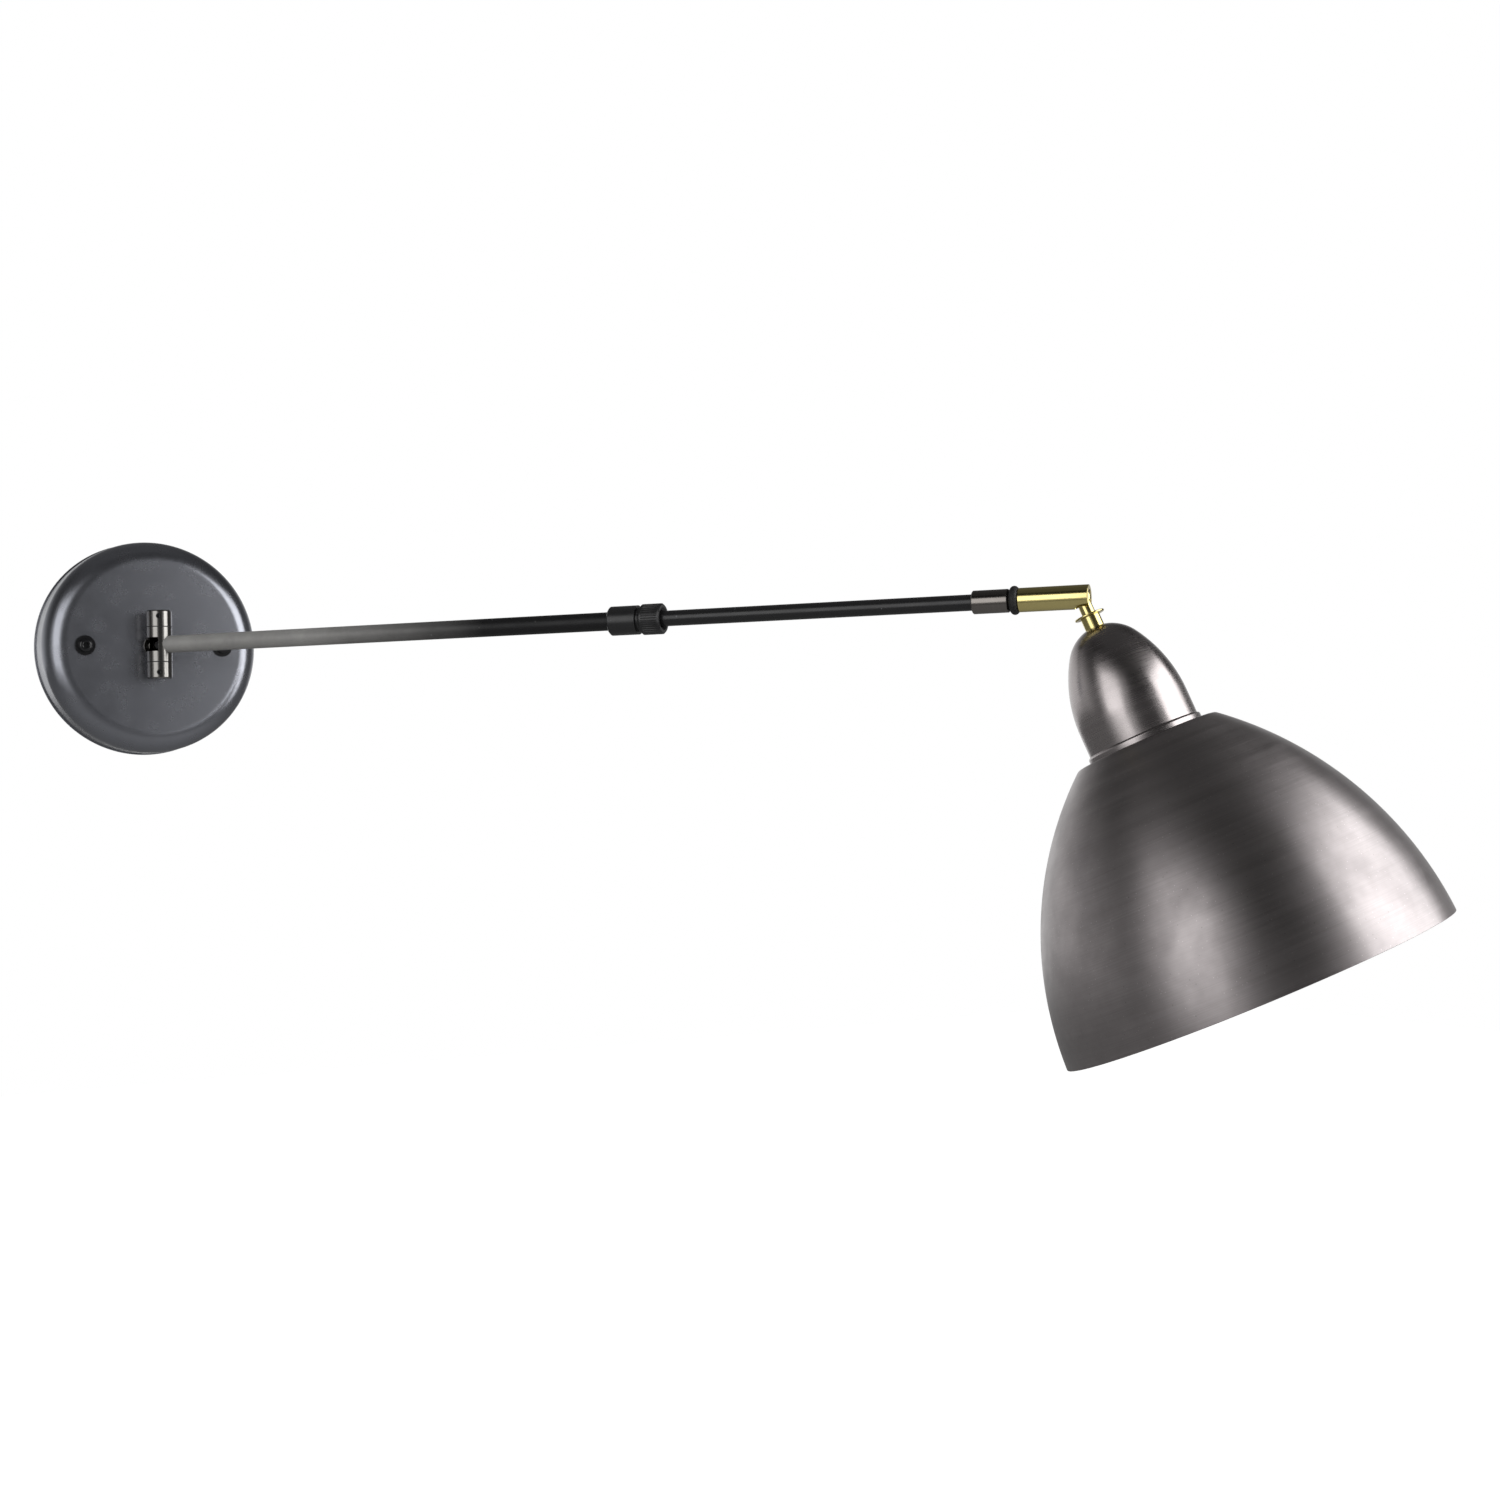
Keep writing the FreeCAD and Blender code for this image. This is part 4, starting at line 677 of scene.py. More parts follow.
def finish_table(colours):
    """For each material slot: its maker, its colour, place and roughness, and the rest."""
    return {
        "canopy_lacquer": (lacquered, (colours.lacquer, WALL, 0.24, 0.9, 0.4), {}),
        "black_steel": (lacquered, (colours.gloss_black, WALL, 0.14, 0.0, 0.1), {}),
        "gunmetal": (turned_metal, (colours.gunmetal, SWING, 0.17),
                     dict(lines=0.22, grain=0.3, line_width=0.12 * MM)),
        # The grey tube's two tones are painted light and shade: lighter near the hinge, near-black towards the
        # collar.
        "grey_tube": (lacquered, (colours.tube_lit_near_hinge, ARM, 0.42, 0.2, 0.4),
                      dict(far_colour=colours.tube_shaded_near_collar, reach=0.20, Specular_IOR_Level=0.3)),
        "black_satin": (lacquered, (colours.black, ARM, 0.30, 0.2, 0.2), {}),
        "black_satin_tube": (lacquered, (colours.black, ARM, 0.26, 0.3, 0.3), {}),
        "dark_bronze": (turned_metal, (colours.bronze, ARM, 0.20), dict(lines=0.25)),
        "black_rubber": (moulded, (colours.rubber, 0.62), {}),
        "polished_brass": (turned_metal, (colours.brass, SWIVEL, 0.13),
                           dict(lines=0.10, grain=0.15, line_width=0.10 * MM, mottle=0.06)),
        "pewter_cup": (turned_metal, (colours.cup, HEAD, 0.25),
                       dict(lines=0.03, specks=0.22, grain=0.15, line_depth=0.0003 * MM,
                            mottle=0.15)),
        "pewter_shade": (turned_metal, (colours.shade, HEAD, 0.36),
                         dict(lines=0.26, specks=0.45, line_width=0.30 * MM, mottle=0.42)),
        "black_bakelite": (moulded, (colours.bakelite, 0.28), {}),
        "white_ceramic": (moulded, (colours.ceramic, 0.22, 0.04), {}),
        "nickel_brass": (plated, (colours.nickel, 0.22), {}),
        "zinc_steel": (plated, (colours.zinc, 0.36), {}),
        "nickel_steel": (plated, (colours.nickel, 0.25), {}),
        "brass": (plated, (colours.brass, 0.30), {}),
        "white_nylon": (moulded, (colours.nylon, 0.45, 0.05), {}),
        "black_nylon": (moulded, (colours.black_nylon, 0.50), {}),
        "lead_sheath": (moulded, (colours.sheath, 0.48), {}),
    }


def finish_named(name):
    """The finish of a material slot, made when it is first asked for."""
    if name not in FINISHES:
        maker, values, named = finish_table(bpy.context.scene.lamp_colours)[name]
        FINISHES[name] = maker(name, *values, **named)
    return FINISHES[name]


# ---------------------------------------------------------------- operators
class LAMP_OT_canopy(Operator):
    """Presses the canopy: a flat face, a rounded shoulder and a lip at the wall."""

    bl_idname = "lamp.canopy"
    bl_label = "Canopy"

    def execute(self, context):
        sizes = context.scene.lamp_wall
        reach = Extent("canopy", WALL)
        skirt = reach.outer - sizes.canopy_lip
        flat = skirt - sizes.canopy_shoulder
        wall = sizes.canopy_wall
        bend = reach.high - sizes.canopy_shoulder
        spun("canopy_shell", "canopy_lacquer", "wall_mount", reach, [
            (reach.outer, 0), (reach.outer, sizes.canopy_lip_height),
            (skirt, sizes.canopy_lip_height), (skirt, bend),
            (flat, reach.high, sizes.canopy_shoulder, "ccw"), (reach.inner, reach.high),
            (reach.inner, reach.high - wall), (flat, reach.high - wall),
            (skirt - wall, bend, sizes.canopy_shoulder - wall, "cw"), (skirt - wall, 0),
        ], around=224, step=0.9 * MM, edge=0.25 * MM)
        return {"FINISHED"}


class LAMP_OT_canopy_screws(Operator):
    """Makes the two domed screws that hold the canopy."""

    bl_idname = "lamp.canopy_screws"
    bl_label = "Canopy screws"

    def execute(self, context):
        sizes = context.scene.lamp_wall
        face = Extent("canopy", WALL).high
        reach = Extent("canopy_screws", WALL)
        flange = reach.outer - sizes.screw_offset
        top, shoulder = sizes.screw_head_height, sizes.screw_flange + sizes.screw_head_edge
        head = [
            (sizes.screw_head - (top - shoulder), top),
            (sizes.screw_head, shoulder, top - shoulder, "cw"),
            (sizes.screw_head, sizes.screw_flange), (flange, sizes.screw_flange), (flange, 0),
            (sizes.screw_shank, 0),
        ]
        pair = []
        for side in (-1, 1):
            seat = Place(WALL.outward(np.array((side * sizes.screw_offset, 0, face))),
                         (0, -1, 0), UP)
            pair.append(socket_screw_points(
                seat, sizes.screw_shank, face - reach.low, top, head, sizes.screw_socket,
                sizes.screw_socket_depth, sizes.socket_lip))
        mesh = closed_mesh("domed_screws", *joined(*pair))
        shown("domed_screws", mesh, "black_steel", "wall_mount", "canopy_screws",
              edge=0.06 * MM)
        return {"FINISHED"}


class LAMP_OT_stem(Operator):
    """Turns the stem with its flange on the canopy's face."""

    bl_idname = "lamp.stem"
    bl_label = "Stem"

    def execute(self, context):
        sizes = context.scene.lamp_wall
        face = Extent("canopy", WALL).high
        reach = Extent("stem", WALL)
        neck = face + sizes.stem_flange
        spun("stem_turned", "gunmetal", "wall_mount", reach, [
            (reach.inner, reach.low), (sizes.stem_thread, reach.low), (sizes.stem_thread, face),
            (reach.outer, face), (reach.outer, neck), (sizes.stem_neck, neck),
            (sizes.stem_neck, reach.high), (reach.inner, reach.high),
        ], around=96, edge=0.2 * MM)
        return {"FINISHED"}


class LAMP_OT_hinge(Operator):
    """Makes the hinge barrel: slotted sleeve, two drilled caps and their grub screws."""

    bl_idname = "lamp.hinge"
    bl_label = "Hinge"

    def execute(self, context):
        sizes = context.scene.lamp_hinge
        facing = np.array((-math.sin(sizes.grub_turn), math.cos(sizes.grub_turn), 0.0))
        for side, up in (("upper", UP), ("lower", -UP)):
            self.cap(sizes, side, Place(HINGE, up, facing))
        self.sleeve(sizes, context.scene.lamp_wall)
        return {"FINISHED"}

    def cap(self, sizes, side, place):
        """One cap, its hole for the grub screw and the screw."""
        reach = Extent(f"hinge_cap_{side}", place)
        bore = Extent("hinge_axle", place).outer
        top = reach.high
        outer = reach.outer
        blank = turned("cap_blank", [
            (bore, reach.low), (outer, reach.low), (outer, top - sizes.cap_chamfer),
            (outer - sizes.cap_chamfer, top), (0, top), (0, top - sizes.cap_floor),
            (bore, top - sizes.cap_floor),
        ], place, around=160)
        centre = place.origin + place.axes[:, 2] * (top - sizes.grub_inset)
        outwards = Place(centre, -place.axes[:, 1], place.axes[:, 2])
        screw = Extent(f"cap_grub_screw_{side}", outwards)
        drill, far = screw.outer + sizes.grub_clearance, outer * 1.3
        hole = turned("hole", [(0, 0), (drill, 0), (drill, far), (0, far)], outwards, around=48)
        shown(f"barrel_cap_{side}", carved(blank, hole), "gunmetal", "wall_mount",
              f"hinge_cap_{side}", edge=0.12 * MM)
        seat = Place(outwards.outward(np.array((0, 0, screw.high))), outwards.axes[:, 2],
                     outwards.axes[:, 1])
        points = socket_screw_points(
            seat, screw.outer, screw.high - screw.low, 0, [(screw.outer, 0)],
            sizes.grub_socket, sizes.grub_socket_depth, sizes.grub_lip, around=48)
        shown(f"grub_screw_{side}", closed_mesh(f"grub_screw_{side}", *points), "black_steel",
              "wall_mount", f"cap_grub_screw_{side}", edge=0.08 * MM)

    def sleeve(self, sizes, wall_sizes):
        """The middle of the barrel, slotted towards the wall so that it can swing."""
        reach = Extent("hinge_sleeve", SWING)
        reach.inner = Extent("hinge_axle", SWING).outer
        blank = turned("sleeve_blank", plain_ring(reach), SWING, around=160)
        half = wall_sizes.stem_neck + sizes.slot_gap
        middle = math.pi / 2
        far = reach.outer * 3
        turn = middle + sizes.slot_turn * np.linspace(-0.5, 0.5, 25)
        rim = np.column_stack((np.cos(turn), np.sin(turn))) * far
        base = np.concatenate((np.zeros((1, 2)), rim))
        number = len(base)
        points = np.concatenate((np.column_stack((base, np.full(number, -half))),
                                 np.column_stack((base, np.full(number, half)))))
        ring = np.arange(number)
        after = (ring + 1) % number
        sides = np.stack((ring, after, after + number, ring + number), axis=-1)
        fan = np.arange(1, number - 1)
        under = np.stack((np.zeros_like(fan), fan + 1, fan), axis=-1)
        over = np.stack((np.zeros_like(fan), fan, fan + 1), axis=-1) + number
        cutter = bpy.data.meshes.new("slot")
        cutter.from_pydata(SWING.outward(points), [],
                           sides.tolist() + under.tolist() + over.tolist())
        shown("barrel_sleeve", carved(blank, cutter), "gunmetal", "outer_arm", "hinge_sleeve",
              edge=0.12 * MM)


class LAMP_OT_outer_tube(Operator):
    """Draws the outer tube, its end shaped to the barrel."""

    bl_idname = "lamp.outer_tube"
    bl_label = "Outer tube"

    def execute(self, context):
        sizes = context.scene.lamp_arm
        reach = Extent("outer_tube", ARM)
        barrel = Extent("hinge_sleeve", SWING).outer + sizes.saddle_gap
        bore = reach.outer - sizes.tube_wall
        blend_end = barrel * 3

        def saddle(radius, height, sweep):
            """Near the barrel a point moves to sqrt(barrel^2 - (r sin a)^2) along the tube."""
            start = np.sqrt(barrel**2 - (radius * np.sin(sweep)) ** 2)
            share_left = np.clip((blend_end - height) / (blend_end - barrel), 0.0, 1.0)
            return radius, height + (start - barrel) * share_left

        spun("arm_tube", "grey_tube", "outer_arm", reach, [
            (bore, barrel), (reach.outer, barrel), (reach.outer, blend_end),
            (reach.outer, reach.high), (bore, reach.high), (bore, blend_end),
        ], around=128, warp=saddle)
        return {"FINISHED"}


class LAMP_OT_collar(Operator):
    """Turns the collar that carries the twist lock, with its threaded nose."""

    bl_idname = "lamp.collar"
    bl_label = "Clamp collar"

    def execute(self, context):
        sizes = context.scene.lamp_arm
        reach = Extent("clamp_collar", ARM)
        tube = Extent("outer_tube", ARM)
        inner = reach.inner
        seat = Extent("clamp_collet", ARM)
        shoulder = reach.low + sizes.collar_socket
        nose = reach.low + sizes.collar_body
        thread_start = nose + sizes.nose_pitch
        thread = np.linspace(thread_start, reach.high - sizes.nose_pitch * 0.4, 60)

        def ridged(radius, height, sweep):
            """On the nose the radius falls by the thread's depth in a helix."""
            on_nose = (np.abs(radius - sizes.nose_radius) < POLE) & (height > thread_start)
            cut = sizes.nose_ridge * helix(height, sweep, sizes.nose_pitch)
            return np.where(on_nose, radius - cut, radius), height

        spun("collar_turned", "black_satin", "outer_arm", reach, [
            (tube.outer, reach.low), (reach.outer - sizes.collar_chamfer, reach.low),
            (reach.outer, reach.low + sizes.collar_chamfer), (reach.outer, nose),
            (sizes.nose_radius, nose), *((sizes.nose_radius, station) for station in thread),
            (sizes.nose_radius, reach.high), (seat.outer, reach.high), (seat.outer, seat.low),
            (inner, seat.low), (inner, shoulder), (tube.outer, shoulder),
        ], around=144, warp=ridged, edge=0.15 * MM)
        return {"FINISHED"}


class LAMP_OT_lock_ring(Operator):
    """Turns the lock ring and its fine grip grooves."""

    bl_idname = "lamp.lock_ring"
    bl_label = "Lock ring"

    def execute(self, context):
        sizes = context.scene.lamp_arm
        reach = Extent("lock_ring", ARM)
        first = reach.low + sizes.groove_margin
        last = reach.high - sizes.groove_margin
        run_out = sizes.groove_run_out
        lead = sizes.ring_chamfer / 2
        thread = sizes.nose_radius
        shoulder = reach.high - sizes.ring_lip

        def grooved(radius, height, sweep):
            """Round grooves: the radius falls by a half circle's depth at each groove's centre."""
            pitch = 2 * math.pi / sizes.groove_count
            off = (np.mod(sweep + pitch / 2, pitch) - pitch / 2) * radius
            depth = np.sqrt(np.clip(sizes.groove_radius**2 - off**2, 0.0, None))
            cut = depth * faded(height, first, last, run_out, start=1.0)
            return np.where(radius > reach.outer - POLE, radius - cut, radius), height

        spun("ring_turned", "black_satin", "lock_ring", reach, [
            (thread, reach.low), (reach.outer - lead, reach.low),
            (reach.outer, reach.low + lead),
            *((reach.outer, station) for station in
              (first - run_out, first - run_out / 2, first, last, last + run_out / 2,
               last + run_out)),
            (reach.outer, reach.high - sizes.ring_chamfer),
            (reach.outer - sizes.ring_chamfer, reach.high), (sizes.ring_recess, reach.high),
            (sizes.ring_hole, reach.high - sizes.ring_recess_depth),
            (sizes.ring_hole, shoulder + sizes.ring_cone), (thread, shoulder),
        ], around=sizes.groove_count * 12, warp=grooved)
        return {"FINISHED"}


class LAMP_OT_inner_tube(Operator):
    """Draws the inner tube that slides in the outer one."""

    bl_idname = "lamp.inner_tube"
    bl_label = "Inner tube"

    def execute(self, context):
        sizes = context.scene.lamp_arm
        reach = Extent("inner_tube", ARM)
        reach.inner = reach.outer - sizes.inner_wall
        spun("slide_tube", "black_satin_tube", "inner_arm", reach, plain_ring(reach), around=112,
             edge=0.15 * MM)
        return {"FINISHED"}


class LAMP_OT_ferrule(Operator):
    """Turns the ferrule at the inner tube's end."""

    bl_idname = "lamp.ferrule"
    bl_label = "Ferrule"

    def execute(self, context):
        sizes = context.scene.lamp_arm
        reach = Extent("ferrule", ARM)
        tube = Extent("inner_tube", ARM)
        edge = sizes.ferrule_chamfer
        floor = reach.high - sizes.ferrule_floor
        spun("ferrule_turned", "dark_bronze", "inner_arm", reach, [
            (tube.outer, reach.low), (reach.outer - edge / 2, reach.low),
            (reach.outer, reach.low + edge / 2), (reach.outer, reach.high - edge),
            (reach.outer - edge, reach.high), (reach.inner, reach.high), (reach.inner, floor),
            (tube.outer, floor),
        ], around=128, edge=0.12 * MM)
        return {"FINISHED"}


class LAMP_OT_swivel(Operator):
    """Makes the rubber ring and the slotted swivel housing."""

    bl_idname = "lamp.swivel"
    bl_label = "Swivel"

    def execute(self, context):
        sizes = context.scene.lamp_swivel
        ring = Extent("friction_ring", SWIVEL)
        bend = (ring.high - ring.low) / 2
        belly = ring.outer - bend
        spun("rubber_ring", "black_rubber", "swivel", ring, [
            (ring.inner, ring.low), (belly, ring.low),
            (ring.outer, ring.low + bend, bend, "ccw"), (belly, ring.high, bend, "ccw"),
            (ring.inner, ring.high),
        ], around=128, step=0.3 * MM, edge=0.1 * MM)
        self.housing(sizes)
        return {"FINISHED"}

    def housing(self, sizes):
        """A tube whose mouth holds the ball, slotted so that the neck can tilt up to it."""
        reach = Extent("swivel_housing", SWIVEL)
        bore = Extent("swivel_plug", SWIVEL).outer
        mouth = sizes.slot_width / 2
        pivot = float(np.dot(PIVOT - HINGE, ALONG_ARM))
        lip = pivot + math.sqrt(bore**2 - mouth**2)
        edge = sizes.housing_edge
        blank = turned("housing_blank", [
            (bore, reach.low), (reach.outer - edge, reach.low),
            (reach.outer, reach.low + edge, edge, "ccw"), (reach.outer, reach.high - edge),
            (reach.outer - edge, reach.high, edge, "ccw"), (mouth, reach.high), (mouth, lip),
            (bore, pivot, bore, "cw"),
        ], SWIVEL, around=160, step=0.3 * MM)
        centre = SWIVEL.outward(np.array((0, 0, pivot)))
        downwards = Place(centre, SWIVEL.axes[:, 0], SWIVEL.axes[:, 1])
        far = reach.outer * 2

        def slot_outline(radius, height, sweep):
            """A half circle towards the arm that opens straight along it past the mouth."""
            ahead = -np.cos(sweep)
            reach_out = np.where(ahead > 0, far / np.maximum(np.abs(np.cos(sweep)), 1e-3), radius)
            wide = mouth / np.maximum(np.abs(np.sin(sweep)), 1e-6)
            return np.where(radius > 0, np.where(ahead > 0, np.minimum(reach_out, wide), mouth),
                            0.0), height

        cutter = turned("slot", [(0, 0), (mouth, 0), (mouth, far), (0, far)], downwards,
                        around=96, warp=slot_outline)
        shown("swivel_tube", carved(blank, cutter), "polished_brass", "swivel",
              "swivel_housing", edge=0.1 * MM)


class LAMP_OT_neck(Operator):
    """Turns the ball with its neck, the flange and the bush above the cup."""

    bl_idname = "lamp.neck"
    bl_label = "Ball and neck"

    def execute(self, context):
        sizes = context.scene.lamp_swivel
        reach = Extent("ball_stem", HEAD)
        flange = Extent("stem_flange", HEAD)
        ball, neck, bore = sizes.ball_radius, sizes.neck_radius, sizes.bore_radius
        shank = flange.inner
        spun("ball_turned", "polished_brass", "head", reach, [
            (0, -ball), (neck, math.sqrt(ball**2 - neck**2), ball, "ccw"), (neck, flange.low),
            (shank, flange.low), (shank, reach.high), (bore, reach.high), (bore, ball / 2),
            (0, ball / 2),
        ], around=96, step=0.3 * MM, edge=0.12 * MM)
        for name, node, edge in (("neck_flange", "stem_flange", 0.35 * MM),
                                 ("neck_bush", "cup_bush", 0.15 * MM)):
            reach = Extent(node, HEAD)
            spun(name, "polished_brass", "head", reach, plain_ring(reach), around=112, edge=edge)
        return {"FINISHED"}


class LAMP_OT_cup(Operator):
    """Spins the cup over the lampholder."""

    bl_idname = "lamp.cup"
    bl_label = "Cup"

    def execute(self, context):
        sizes = context.scene.lamp_head
        reach = Extent("cup", HEAD)
        crown, radius, wall = sizes.cup_crown, sizes.cup_radius, sizes.cup_wall
        centre = sizes.cup_apex + crown
        drop = sizes.cup_shoulder - centre
        side = (radius**2 + drop**2 - crown**2) / ((radius - crown) * 2)
        side_centre = radius - side
        run = side - crown

        def meeting(reach_out):
            """Where the crown's arc meets the side's arc, for the outer or the inner skin."""
            return (side_centre - side_centre / run * reach_out,
                    sizes.cup_shoulder - drop / run * reach_out)

        pad = reach.low
        pad_radius = math.sqrt(crown**2 - (centre - pad) ** 2)
        inner_pad = math.sqrt((crown - wall) ** 2 - (centre - pad - wall) ** 2)
        bead = sizes.cup_lip_height
        soft = sizes.cup_lip
        spun("cup_spun", "pewter_cup", "head", reach, [
            (reach.inner, pad + wall), (reach.inner, pad), (pad_radius, pad),
            (*meeting(side), crown, "ccw"), (radius, sizes.cup_shoulder, side, "ccw"),
            (radius, reach.high - bead),
            (radius + soft, reach.high - bead + soft, soft * 1.05, "ccw"),
            (radius + soft, reach.high), (radius - wall, reach.high),
            (radius - wall, sizes.cup_shoulder), (*meeting(side - wall), side - wall, "cw"),
            (inner_pad, pad + wall, crown - wall, "cw"),
        ], around=256, step=0.7 * MM, edge=0.25 * MM)
        return {"FINISHED"}


class LAMP_OT_shade(Operator):
    """Spins the shade: a nearly flat top, a small rounded corner and one long curved side."""

    bl_idname = "lamp.shade"
    bl_label = "Shade"

    def execute(self, context):
        sizes = context.scene.lamp_head
        reach = Extent("shade", HEAD)
        top, rim = reach.low, reach.high
        big, corner, wall = sizes.shade_side, sizes.shade_corner, sizes.shade_wall
        corner_radius = sizes.cup_radius + sizes.cup_lip + sizes.shade_top_margin
        outward = np.array((reach.outer, rim))
        apart = np.array((corner_radius, top + corner)) - outward
        span = np.linalg.norm(apart)
        near = big - corner
        along = (span**2 + big**2 - near**2) / (2 * span)
        aside = np.array((apart[1], -apart[0])) / span
        centre = outward + apart / span * along + aside * math.sqrt(big**2 - along**2)

        def shoulder(reach_out):
            """Where the corner's arc meets the side's arc of that radius."""
            return (centre[0] + (corner_radius - centre[0]) / near * reach_out,
                    centre[1] - (centre[1] - top - corner) / near * reach_out)

        inner_rim = centre[0] + math.sqrt((big - wall) ** 2 - (centre[1] - rim) ** 2)
        spun("shade_spun", "pewter_shade", "head", reach, [
            (reach.inner, top), (corner_radius, top), (*shoulder(big), corner, "ccw"),
            (reach.outer, rim, big, "ccw"), (inner_rim, rim),
            (*shoulder(big - wall), big - wall, "cw"),
            (corner_radius, top + wall, corner - wall, "cw"), (reach.inner, top + wall),
        ], around=320, step=1.6 * MM, edge=0.28 * MM)
        return {"FINISHED"}


class LAMP_OT_lampholder(Operator):
    """Makes the lampholder: cap, ceramic body, threaded shell, contact and shade ring."""

    bl_idname = "lamp.lampholder"
    bl_label = "Lampholder"

    def execute(self, context):
        sizes = context.scene.lamp_head
        self.cap(sizes)
        self.body(sizes)
        self.shell(sizes)
        self.contact(sizes)
        self.ring(sizes)
        return {"FINISHED"}

    def cap(self, sizes):
        """A deep cap with a rounded top and a boss for the stem."""
        reach = Extent("lampholder_cap", HEAD)
        wall, crown = sizes.holder_cap_wall, sizes.holder_cap_crown
        boss = sizes.holder_cap_boss
        boss_end = reach.low + boss
        spun("holder_cap", "black_bakelite", "head", reach, [
            (reach.inner, reach.low), (reach.outer - crown, reach.low),
            (reach.outer, reach.low + crown, crown, "ccw"), (reach.outer, reach.high),
            (reach.outer - wall, reach.high), (reach.outer - wall, reach.low + crown),
            (reach.outer - crown, reach.low + wall, crown - wall, "cw"),
            (boss, reach.low + wall), (boss, boss_end), (reach.inner, boss_end),
        ], around=128, edge=0.3 * MM)

    def body(self, sizes):
        """The ceramic body, a shallow thread round its skirt for the shade ring."""
        reach = Extent("lampholder_body", HEAD)
        shell = Extent("socket_shell", HEAD)
        ring = Extent("shade_ring", HEAD)
        contact = Extent("centre_contact", HEAD)
        recess = shell.outer + sizes.recess_gap
        pocket = contact.outer + sizes.pocket_gap
        first, last = ring.low, reach.high - sizes.skirt_pitch
        stations = np.linspace(first, last, 72)

        def ridged(radius, height, sweep):
            """In the threaded stretch the radius dips in a helix and fades at both ends."""
            on_skirt = (radius > reach.outer - POLE) & (height > first) & (height < last)
            dip = sizes.skirt_depth * helix(height, sweep, sizes.skirt_pitch)
            dip = dip * faded(height, first, last, sizes.skirt_pitch)
            return np.where(on_skirt, radius - dip, radius), height

        spun("holder_body", "white_ceramic", "head", reach, [
            (reach.inner, reach.low), (reach.outer, reach.low),
            *((reach.outer, station) for station in stations), (reach.outer, reach.high),
            (recess, reach.high), (recess, shell.low), (pocket, shell.low),
            (pocket, contact.low), (reach.inner, contact.low),
        ], around=144, warp=ridged, edge=0.4 * MM)

    def shell(self, sizes):
        """The thread that takes the bulb, rolled into thin sheet: both skins follow one helix."""
        reach = Extent("socket_shell", HEAD)
        flat = sizes.thread_pitch * 0.6
        first, last = reach.low + flat, reach.high - flat / 2
        stations = np.linspace(first, last, 90)

        def rolled(radius, height, sweep):
            """Both skins fall by twice the thread's half depth between its crests."""
            wave = 2 * sizes.thread_depth * (1 - helix(height, sweep, sizes.thread_pitch))
            return radius - wave * faded(height, first, last, sizes.thread_pitch / 2), height

        spun("bulb_thread", "nickel_brass", "head", reach, [
            (reach.outer, reach.low), *((reach.outer, station) for station in stations),
            (reach.outer, reach.high), (reach.inner, reach.high),
            *((reach.inner, station) for station in stations[::-1]), (reach.inner, reach.low),
        ], around=144, warp=rolled)

    def contact(self, sizes):
        """The sprung contact: a disc with a domed button."""
        reach = Extent("centre_contact", HEAD)
        disc = reach.low + sizes.contact_disc
        button = sizes.contact_button
        spun("contact_button", "nickel_brass", "head", reach, [
            (0, reach.low), (reach.outer, reach.low), (reach.outer, disc), (button, disc),
            (sizes.contact_top, reach.high - sizes.contact_rise),
            (0, reach.high, sizes.contact_dome, "ccw"),
        ], around=64, step=0.3 * MM, edge=0.1 * MM)

    def ring(self, sizes):
        """The ring under the shade's top, ribbed for the fingers."""
        reach = Extent("shade_ring", HEAD)
        edge = sizes.ring_edge
        stations = np.linspace(reach.low + edge / 5, reach.high - edge, 5)

        def ribbed(radius, height, sweep):
            """The radius dips by half a cosine wave between ribs."""
            wave = 0.5 - 0.5 * np.cos(sweep * sizes.rib_count)
            return np.where(radius > reach.outer - edge - POLE,
                            radius - sizes.rib_depth * wave, radius), height

        spun("ribbed_ring", "black_bakelite", "head", reach, [
            (reach.inner, reach.low), (reach.outer - edge * 0.3, reach.low),
            *((reach.outer, station) for station in stations), (reach.outer - edge, reach.high),
            (reach.inner, reach.high),
        ], around=sizes.rib_count * 8, warp=ribbed)


class LAMP_OT_inside(Operator):
    """Gives every remaining CAD piece the finish of its material slot."""

    bl_idname = "lamp.inside"
    bl_label = "Pieces inside"

    SLOTS = {
        "zinc_steel": ("wall_plate", "pillars", "stem_washer", "stem_nut"),
        "white_nylon": ("terminal_block",),
        "nickel_steel": ("terminal_screws", "earth_screw", "earth_washer", "retaining_clip",
                         "disc_springs", "cup_washer", "cup_nut"),
        "brass": ("arm_nipple", "swivel_plug"),
        "gunmetal": ("hinge_axle",),
        "black_nylon": ("hinge_washer_upper", "hinge_washer_lower", "clamp_collet",
                        "guide_bush", "ball_follower"),
        "lead_sheath": ("mains_lead", "arm_lead", "tube_lead", "swivel_lead", "head_lead"),
    }

    def execute(self, context):
        for slot, names in self.SLOTS.items():
            for name in names:
                slots = frame["nodes"][name].data.materials
                slots.clear()
                slots.append(finish_named(slot))
        return {"FINISHED"}


# Where the room's gloss starts and ends changing, by a direction's Y or Z part.
BEHIND = (0.10, 1.0)
STEEP = (0.05, 0.60)
OVERHEAD = (0.72, 0.95)
WHITE = (1, 1, 1, 1)
ARM_MIDDLE = (0.18, -0.22, -0.06)
SHADE_MIDDLE = (0.37, -0.46, -0.08)
# Name, aim, azimuth and elevation from it in degrees, distance, width and height, radiance.
SOFT_BOXES = (
    ("soft lamp left", ARM_MIDDLE, -60, 10, 1.36, (1.5, 1.5), 0.40),
    ("left lamp's core", ARM_MIDDLE, -60, 12, 1.34, (0.85, 1.0), 1.7),
    ("soft lamp right", SHADE_MIDDLE, 51, 12, 0.62, (0.72, 0.90), 3.5),
    ("right lamp's spill", SHADE_MIDDLE, 30, 2, 1.2, (1.2, 1.2), 0.40),
)


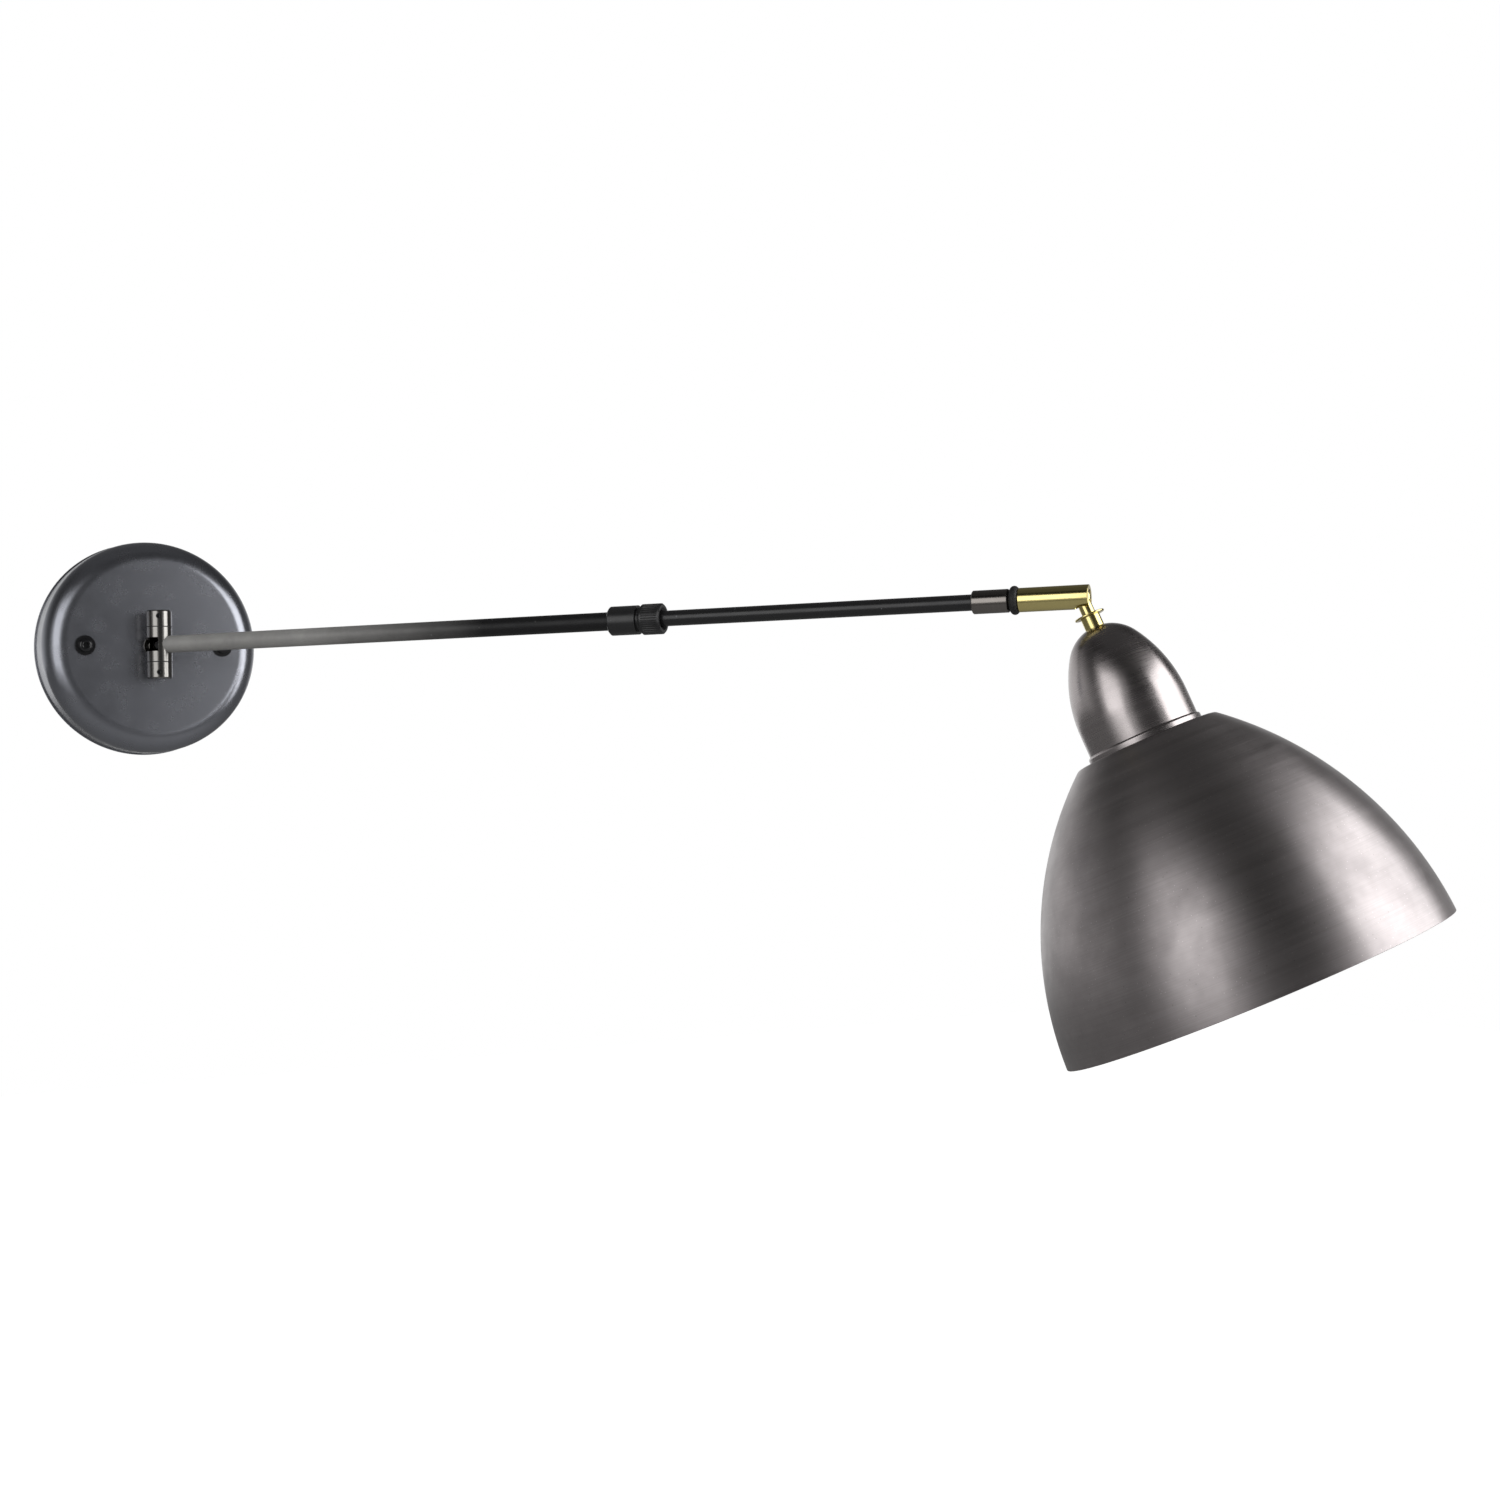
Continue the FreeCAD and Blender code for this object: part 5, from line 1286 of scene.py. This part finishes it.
def facing_back(azimuth, elevation):
    """The unit vector at an azimuth and elevation from straight in front of the wall."""
    return np.array((math.sin(azimuth) * math.cos(elevation),
                     -math.cos(azimuth) * math.cos(elevation), math.sin(elevation)))


class LAMP_OT_stage(Operator):
    """Sets the camera, the pale floor, the room's light and the soft lamps."""

    bl_idname = "lamp.stage"
    bl_label = "Stage"

    def execute(self, context):
        settings = context.scene.lamp_stage
        context.scene.view_settings.view_transform = "Standard"
        self.camera(context, settings)
        self.room(context, settings)
        self.floor(context, settings)
        for soft_box in SOFT_BOXES:
            self.lamp(context, *soft_box)
        return {"FINISHED"}

    def camera(self, context, settings):
        """Looks along -back; right and up are turned by the roll."""
        azimuth = settings.camera_azimuth
        back = facing_back(azimuth, settings.camera_elevation)
        level = np.array((math.cos(azimuth), math.sin(azimuth), 0.0))
        upright = np.cross(back, level)
        roll = settings.camera_roll
        right = level * math.cos(roll) + upright * math.sin(roll)
        up = upright * math.cos(roll) - level * math.sin(roll)
        data = bpy.data.cameras.new("camera")
        data.sensor_width = 36
        data.lens = settings.camera_lens
        data.clip_start = 0.02
        camera = bpy.data.objects.new("camera", data)
        context.scene.collection.objects.link(camera)
        turn = Matrix(np.column_stack((right, up, back)).tolist()).to_4x4()
        camera.matrix_world = Matrix.Translation(Vector(settings.camera_place)) @ turn
        context.scene.camera = camera

    def room(self, context, settings):
        """White to the camera; gloss shows white behind the lamp and a dim room in front."""
        world = bpy.data.worlds.new("room")
        context.scene.world = world
        world.use_nodes = True
        world.node_tree.nodes.clear()
        nodes = Nodes(world.node_tree)
        path = nodes.add("ShaderNodeLightPath").outputs
        way = nodes.add("ShaderNodeTexCoord").outputs["Generated"]
        apart = nodes.add("ShaderNodeSeparateXYZ", {0: way}).outputs

        def smooth(axis, *ends):
            return nodes.spread(apart[axis], *ends, interpolation_type="SMOOTHSTEP")

        gloss = nodes.add("ShaderNodeMath", {
            0: smooth("Y", *BEHIND, settings.dark_side, 1.0),
            1: smooth("Z", *STEEP, 1.0, settings.steep_side),
            2: smooth("Z", *OVERHEAD, 0.0, settings.sky_level),
        }, operation="MULTIPLY_ADD").outputs[0]
        plain, glossy, white = (
            nodes.add("ShaderNodeBackground", {"Color": WHITE, "Strength": strength}).outputs[0]
            for strength in (settings.ambient, gloss, 1.0))
        shine = nodes.sum(path["Is Glossy Ray"], path["Is Transmission Ray"], "MAXIMUM")
        room = plain
        for amount, light in ((shine, glossy), (path["Is Camera Ray"], white)):
            room = nodes.add("ShaderNodeMixShader", {0: amount, 1: room, 2: light}).outputs[0]
        nodes.add("ShaderNodeOutputWorld", {"Surface": room})

    def floor(self, context, settings):
        """A plain pale floor that keeps the lamp's shadow and is white to the camera."""
        half = settings.floor_size / 2
        corners = np.array(((-1, -1), (1, -1), (1, 1), (-1, 1))) * half
        points = np.column_stack((corners, np.full(4, -settings.floor_drop)))
        mesh = bpy.data.meshes.new("floor")
        mesh.from_pydata(points, [], [(0, 1, 2, 3)])
        finish = Finish("pale floor", [settings.floor_tone] * 3, 0.0, 0.9,
                        Emission_Color=WHITE)
        path = finish.add("ShaderNodeLightPath")
        lift = finish.spread(path.outputs["Is Camera Ray"], 0.0, 1.0, 0.0, settings.floor_lift)
        finish.set("Emission Strength", lift)
        mesh.materials.append(finish.material)
        floor = bpy.data.objects.new("floor", mesh)
        context.scene.collection.objects.link(floor)

    def lamp(self, context, name, aim, azimuth, elevation, distance, size, level):
        """A soft box at an azimuth and elevation from aim; level is its radiance."""
        back = facing_back(math.radians(azimuth), math.radians(elevation))
        data = bpy.data.lights.new(name, "AREA")
        data.shape = "RECTANGLE"
        data.size, data.size_y = size
        data.energy = level * math.pi * size[0] * size[1]
        light = bpy.data.objects.new(name, data)
        context.scene.collection.objects.link(light)
        light.rotation_mode = "QUATERNION"
        light.rotation_quaternion = Vector(-back).to_track_quat("-Z", "Y")
        light.location = np.array(aim) + back * distance


OPERATORS = (
    LAMP_OT_canopy, LAMP_OT_canopy_screws, LAMP_OT_stem, LAMP_OT_hinge, LAMP_OT_outer_tube,
    LAMP_OT_collar, LAMP_OT_lock_ring, LAMP_OT_inner_tube, LAMP_OT_ferrule, LAMP_OT_swivel,
    LAMP_OT_neck, LAMP_OT_cup, LAMP_OT_shade, LAMP_OT_lampholder, LAMP_OT_inside,
    LAMP_OT_stage,
)


class LAMP_PT_pieces(Panel):
    """Lists the lamp's pieces and sizes."""

    bl_idname = "LAMP_PT_pieces"
    bl_label = "Wall Lamp"
    bl_space_type = "VIEW_3D"
    bl_region_type = "UI"
    bl_category = "Wall Lamp"

    def draw(self, context):
        for operator in OPERATORS:
            self.layout.operator(operator.bl_idname)
        for group, settings in GROUPS.items():
            section = self.layout.box()
            section.label(text=settings.__doc__)
            for name in settings.__annotations__:
                section.prop(getattr(context.scene, group), name)


def register():
    for kind in (*GROUPS.values(), *OPERATORS, LAMP_PT_pieces):
        bpy.utils.register_class(kind)
    for name, settings in GROUPS.items():
        setattr(bpy.types.Scene, name, PointerProperty(type=settings))


def unregister():
    for name in GROUPS:
        delattr(bpy.types.Scene, name)
    for kind in reversed((*GROUPS.values(), *OPERATORS, LAMP_PT_pieces)):
        bpy.utils.unregister_class(kind)


def main():
    register()
    for operator in OPERATORS:
        getattr(bpy.ops.lamp, operator.bl_idname.split(".")[1])()


if __name__ == "__main__":
    main()
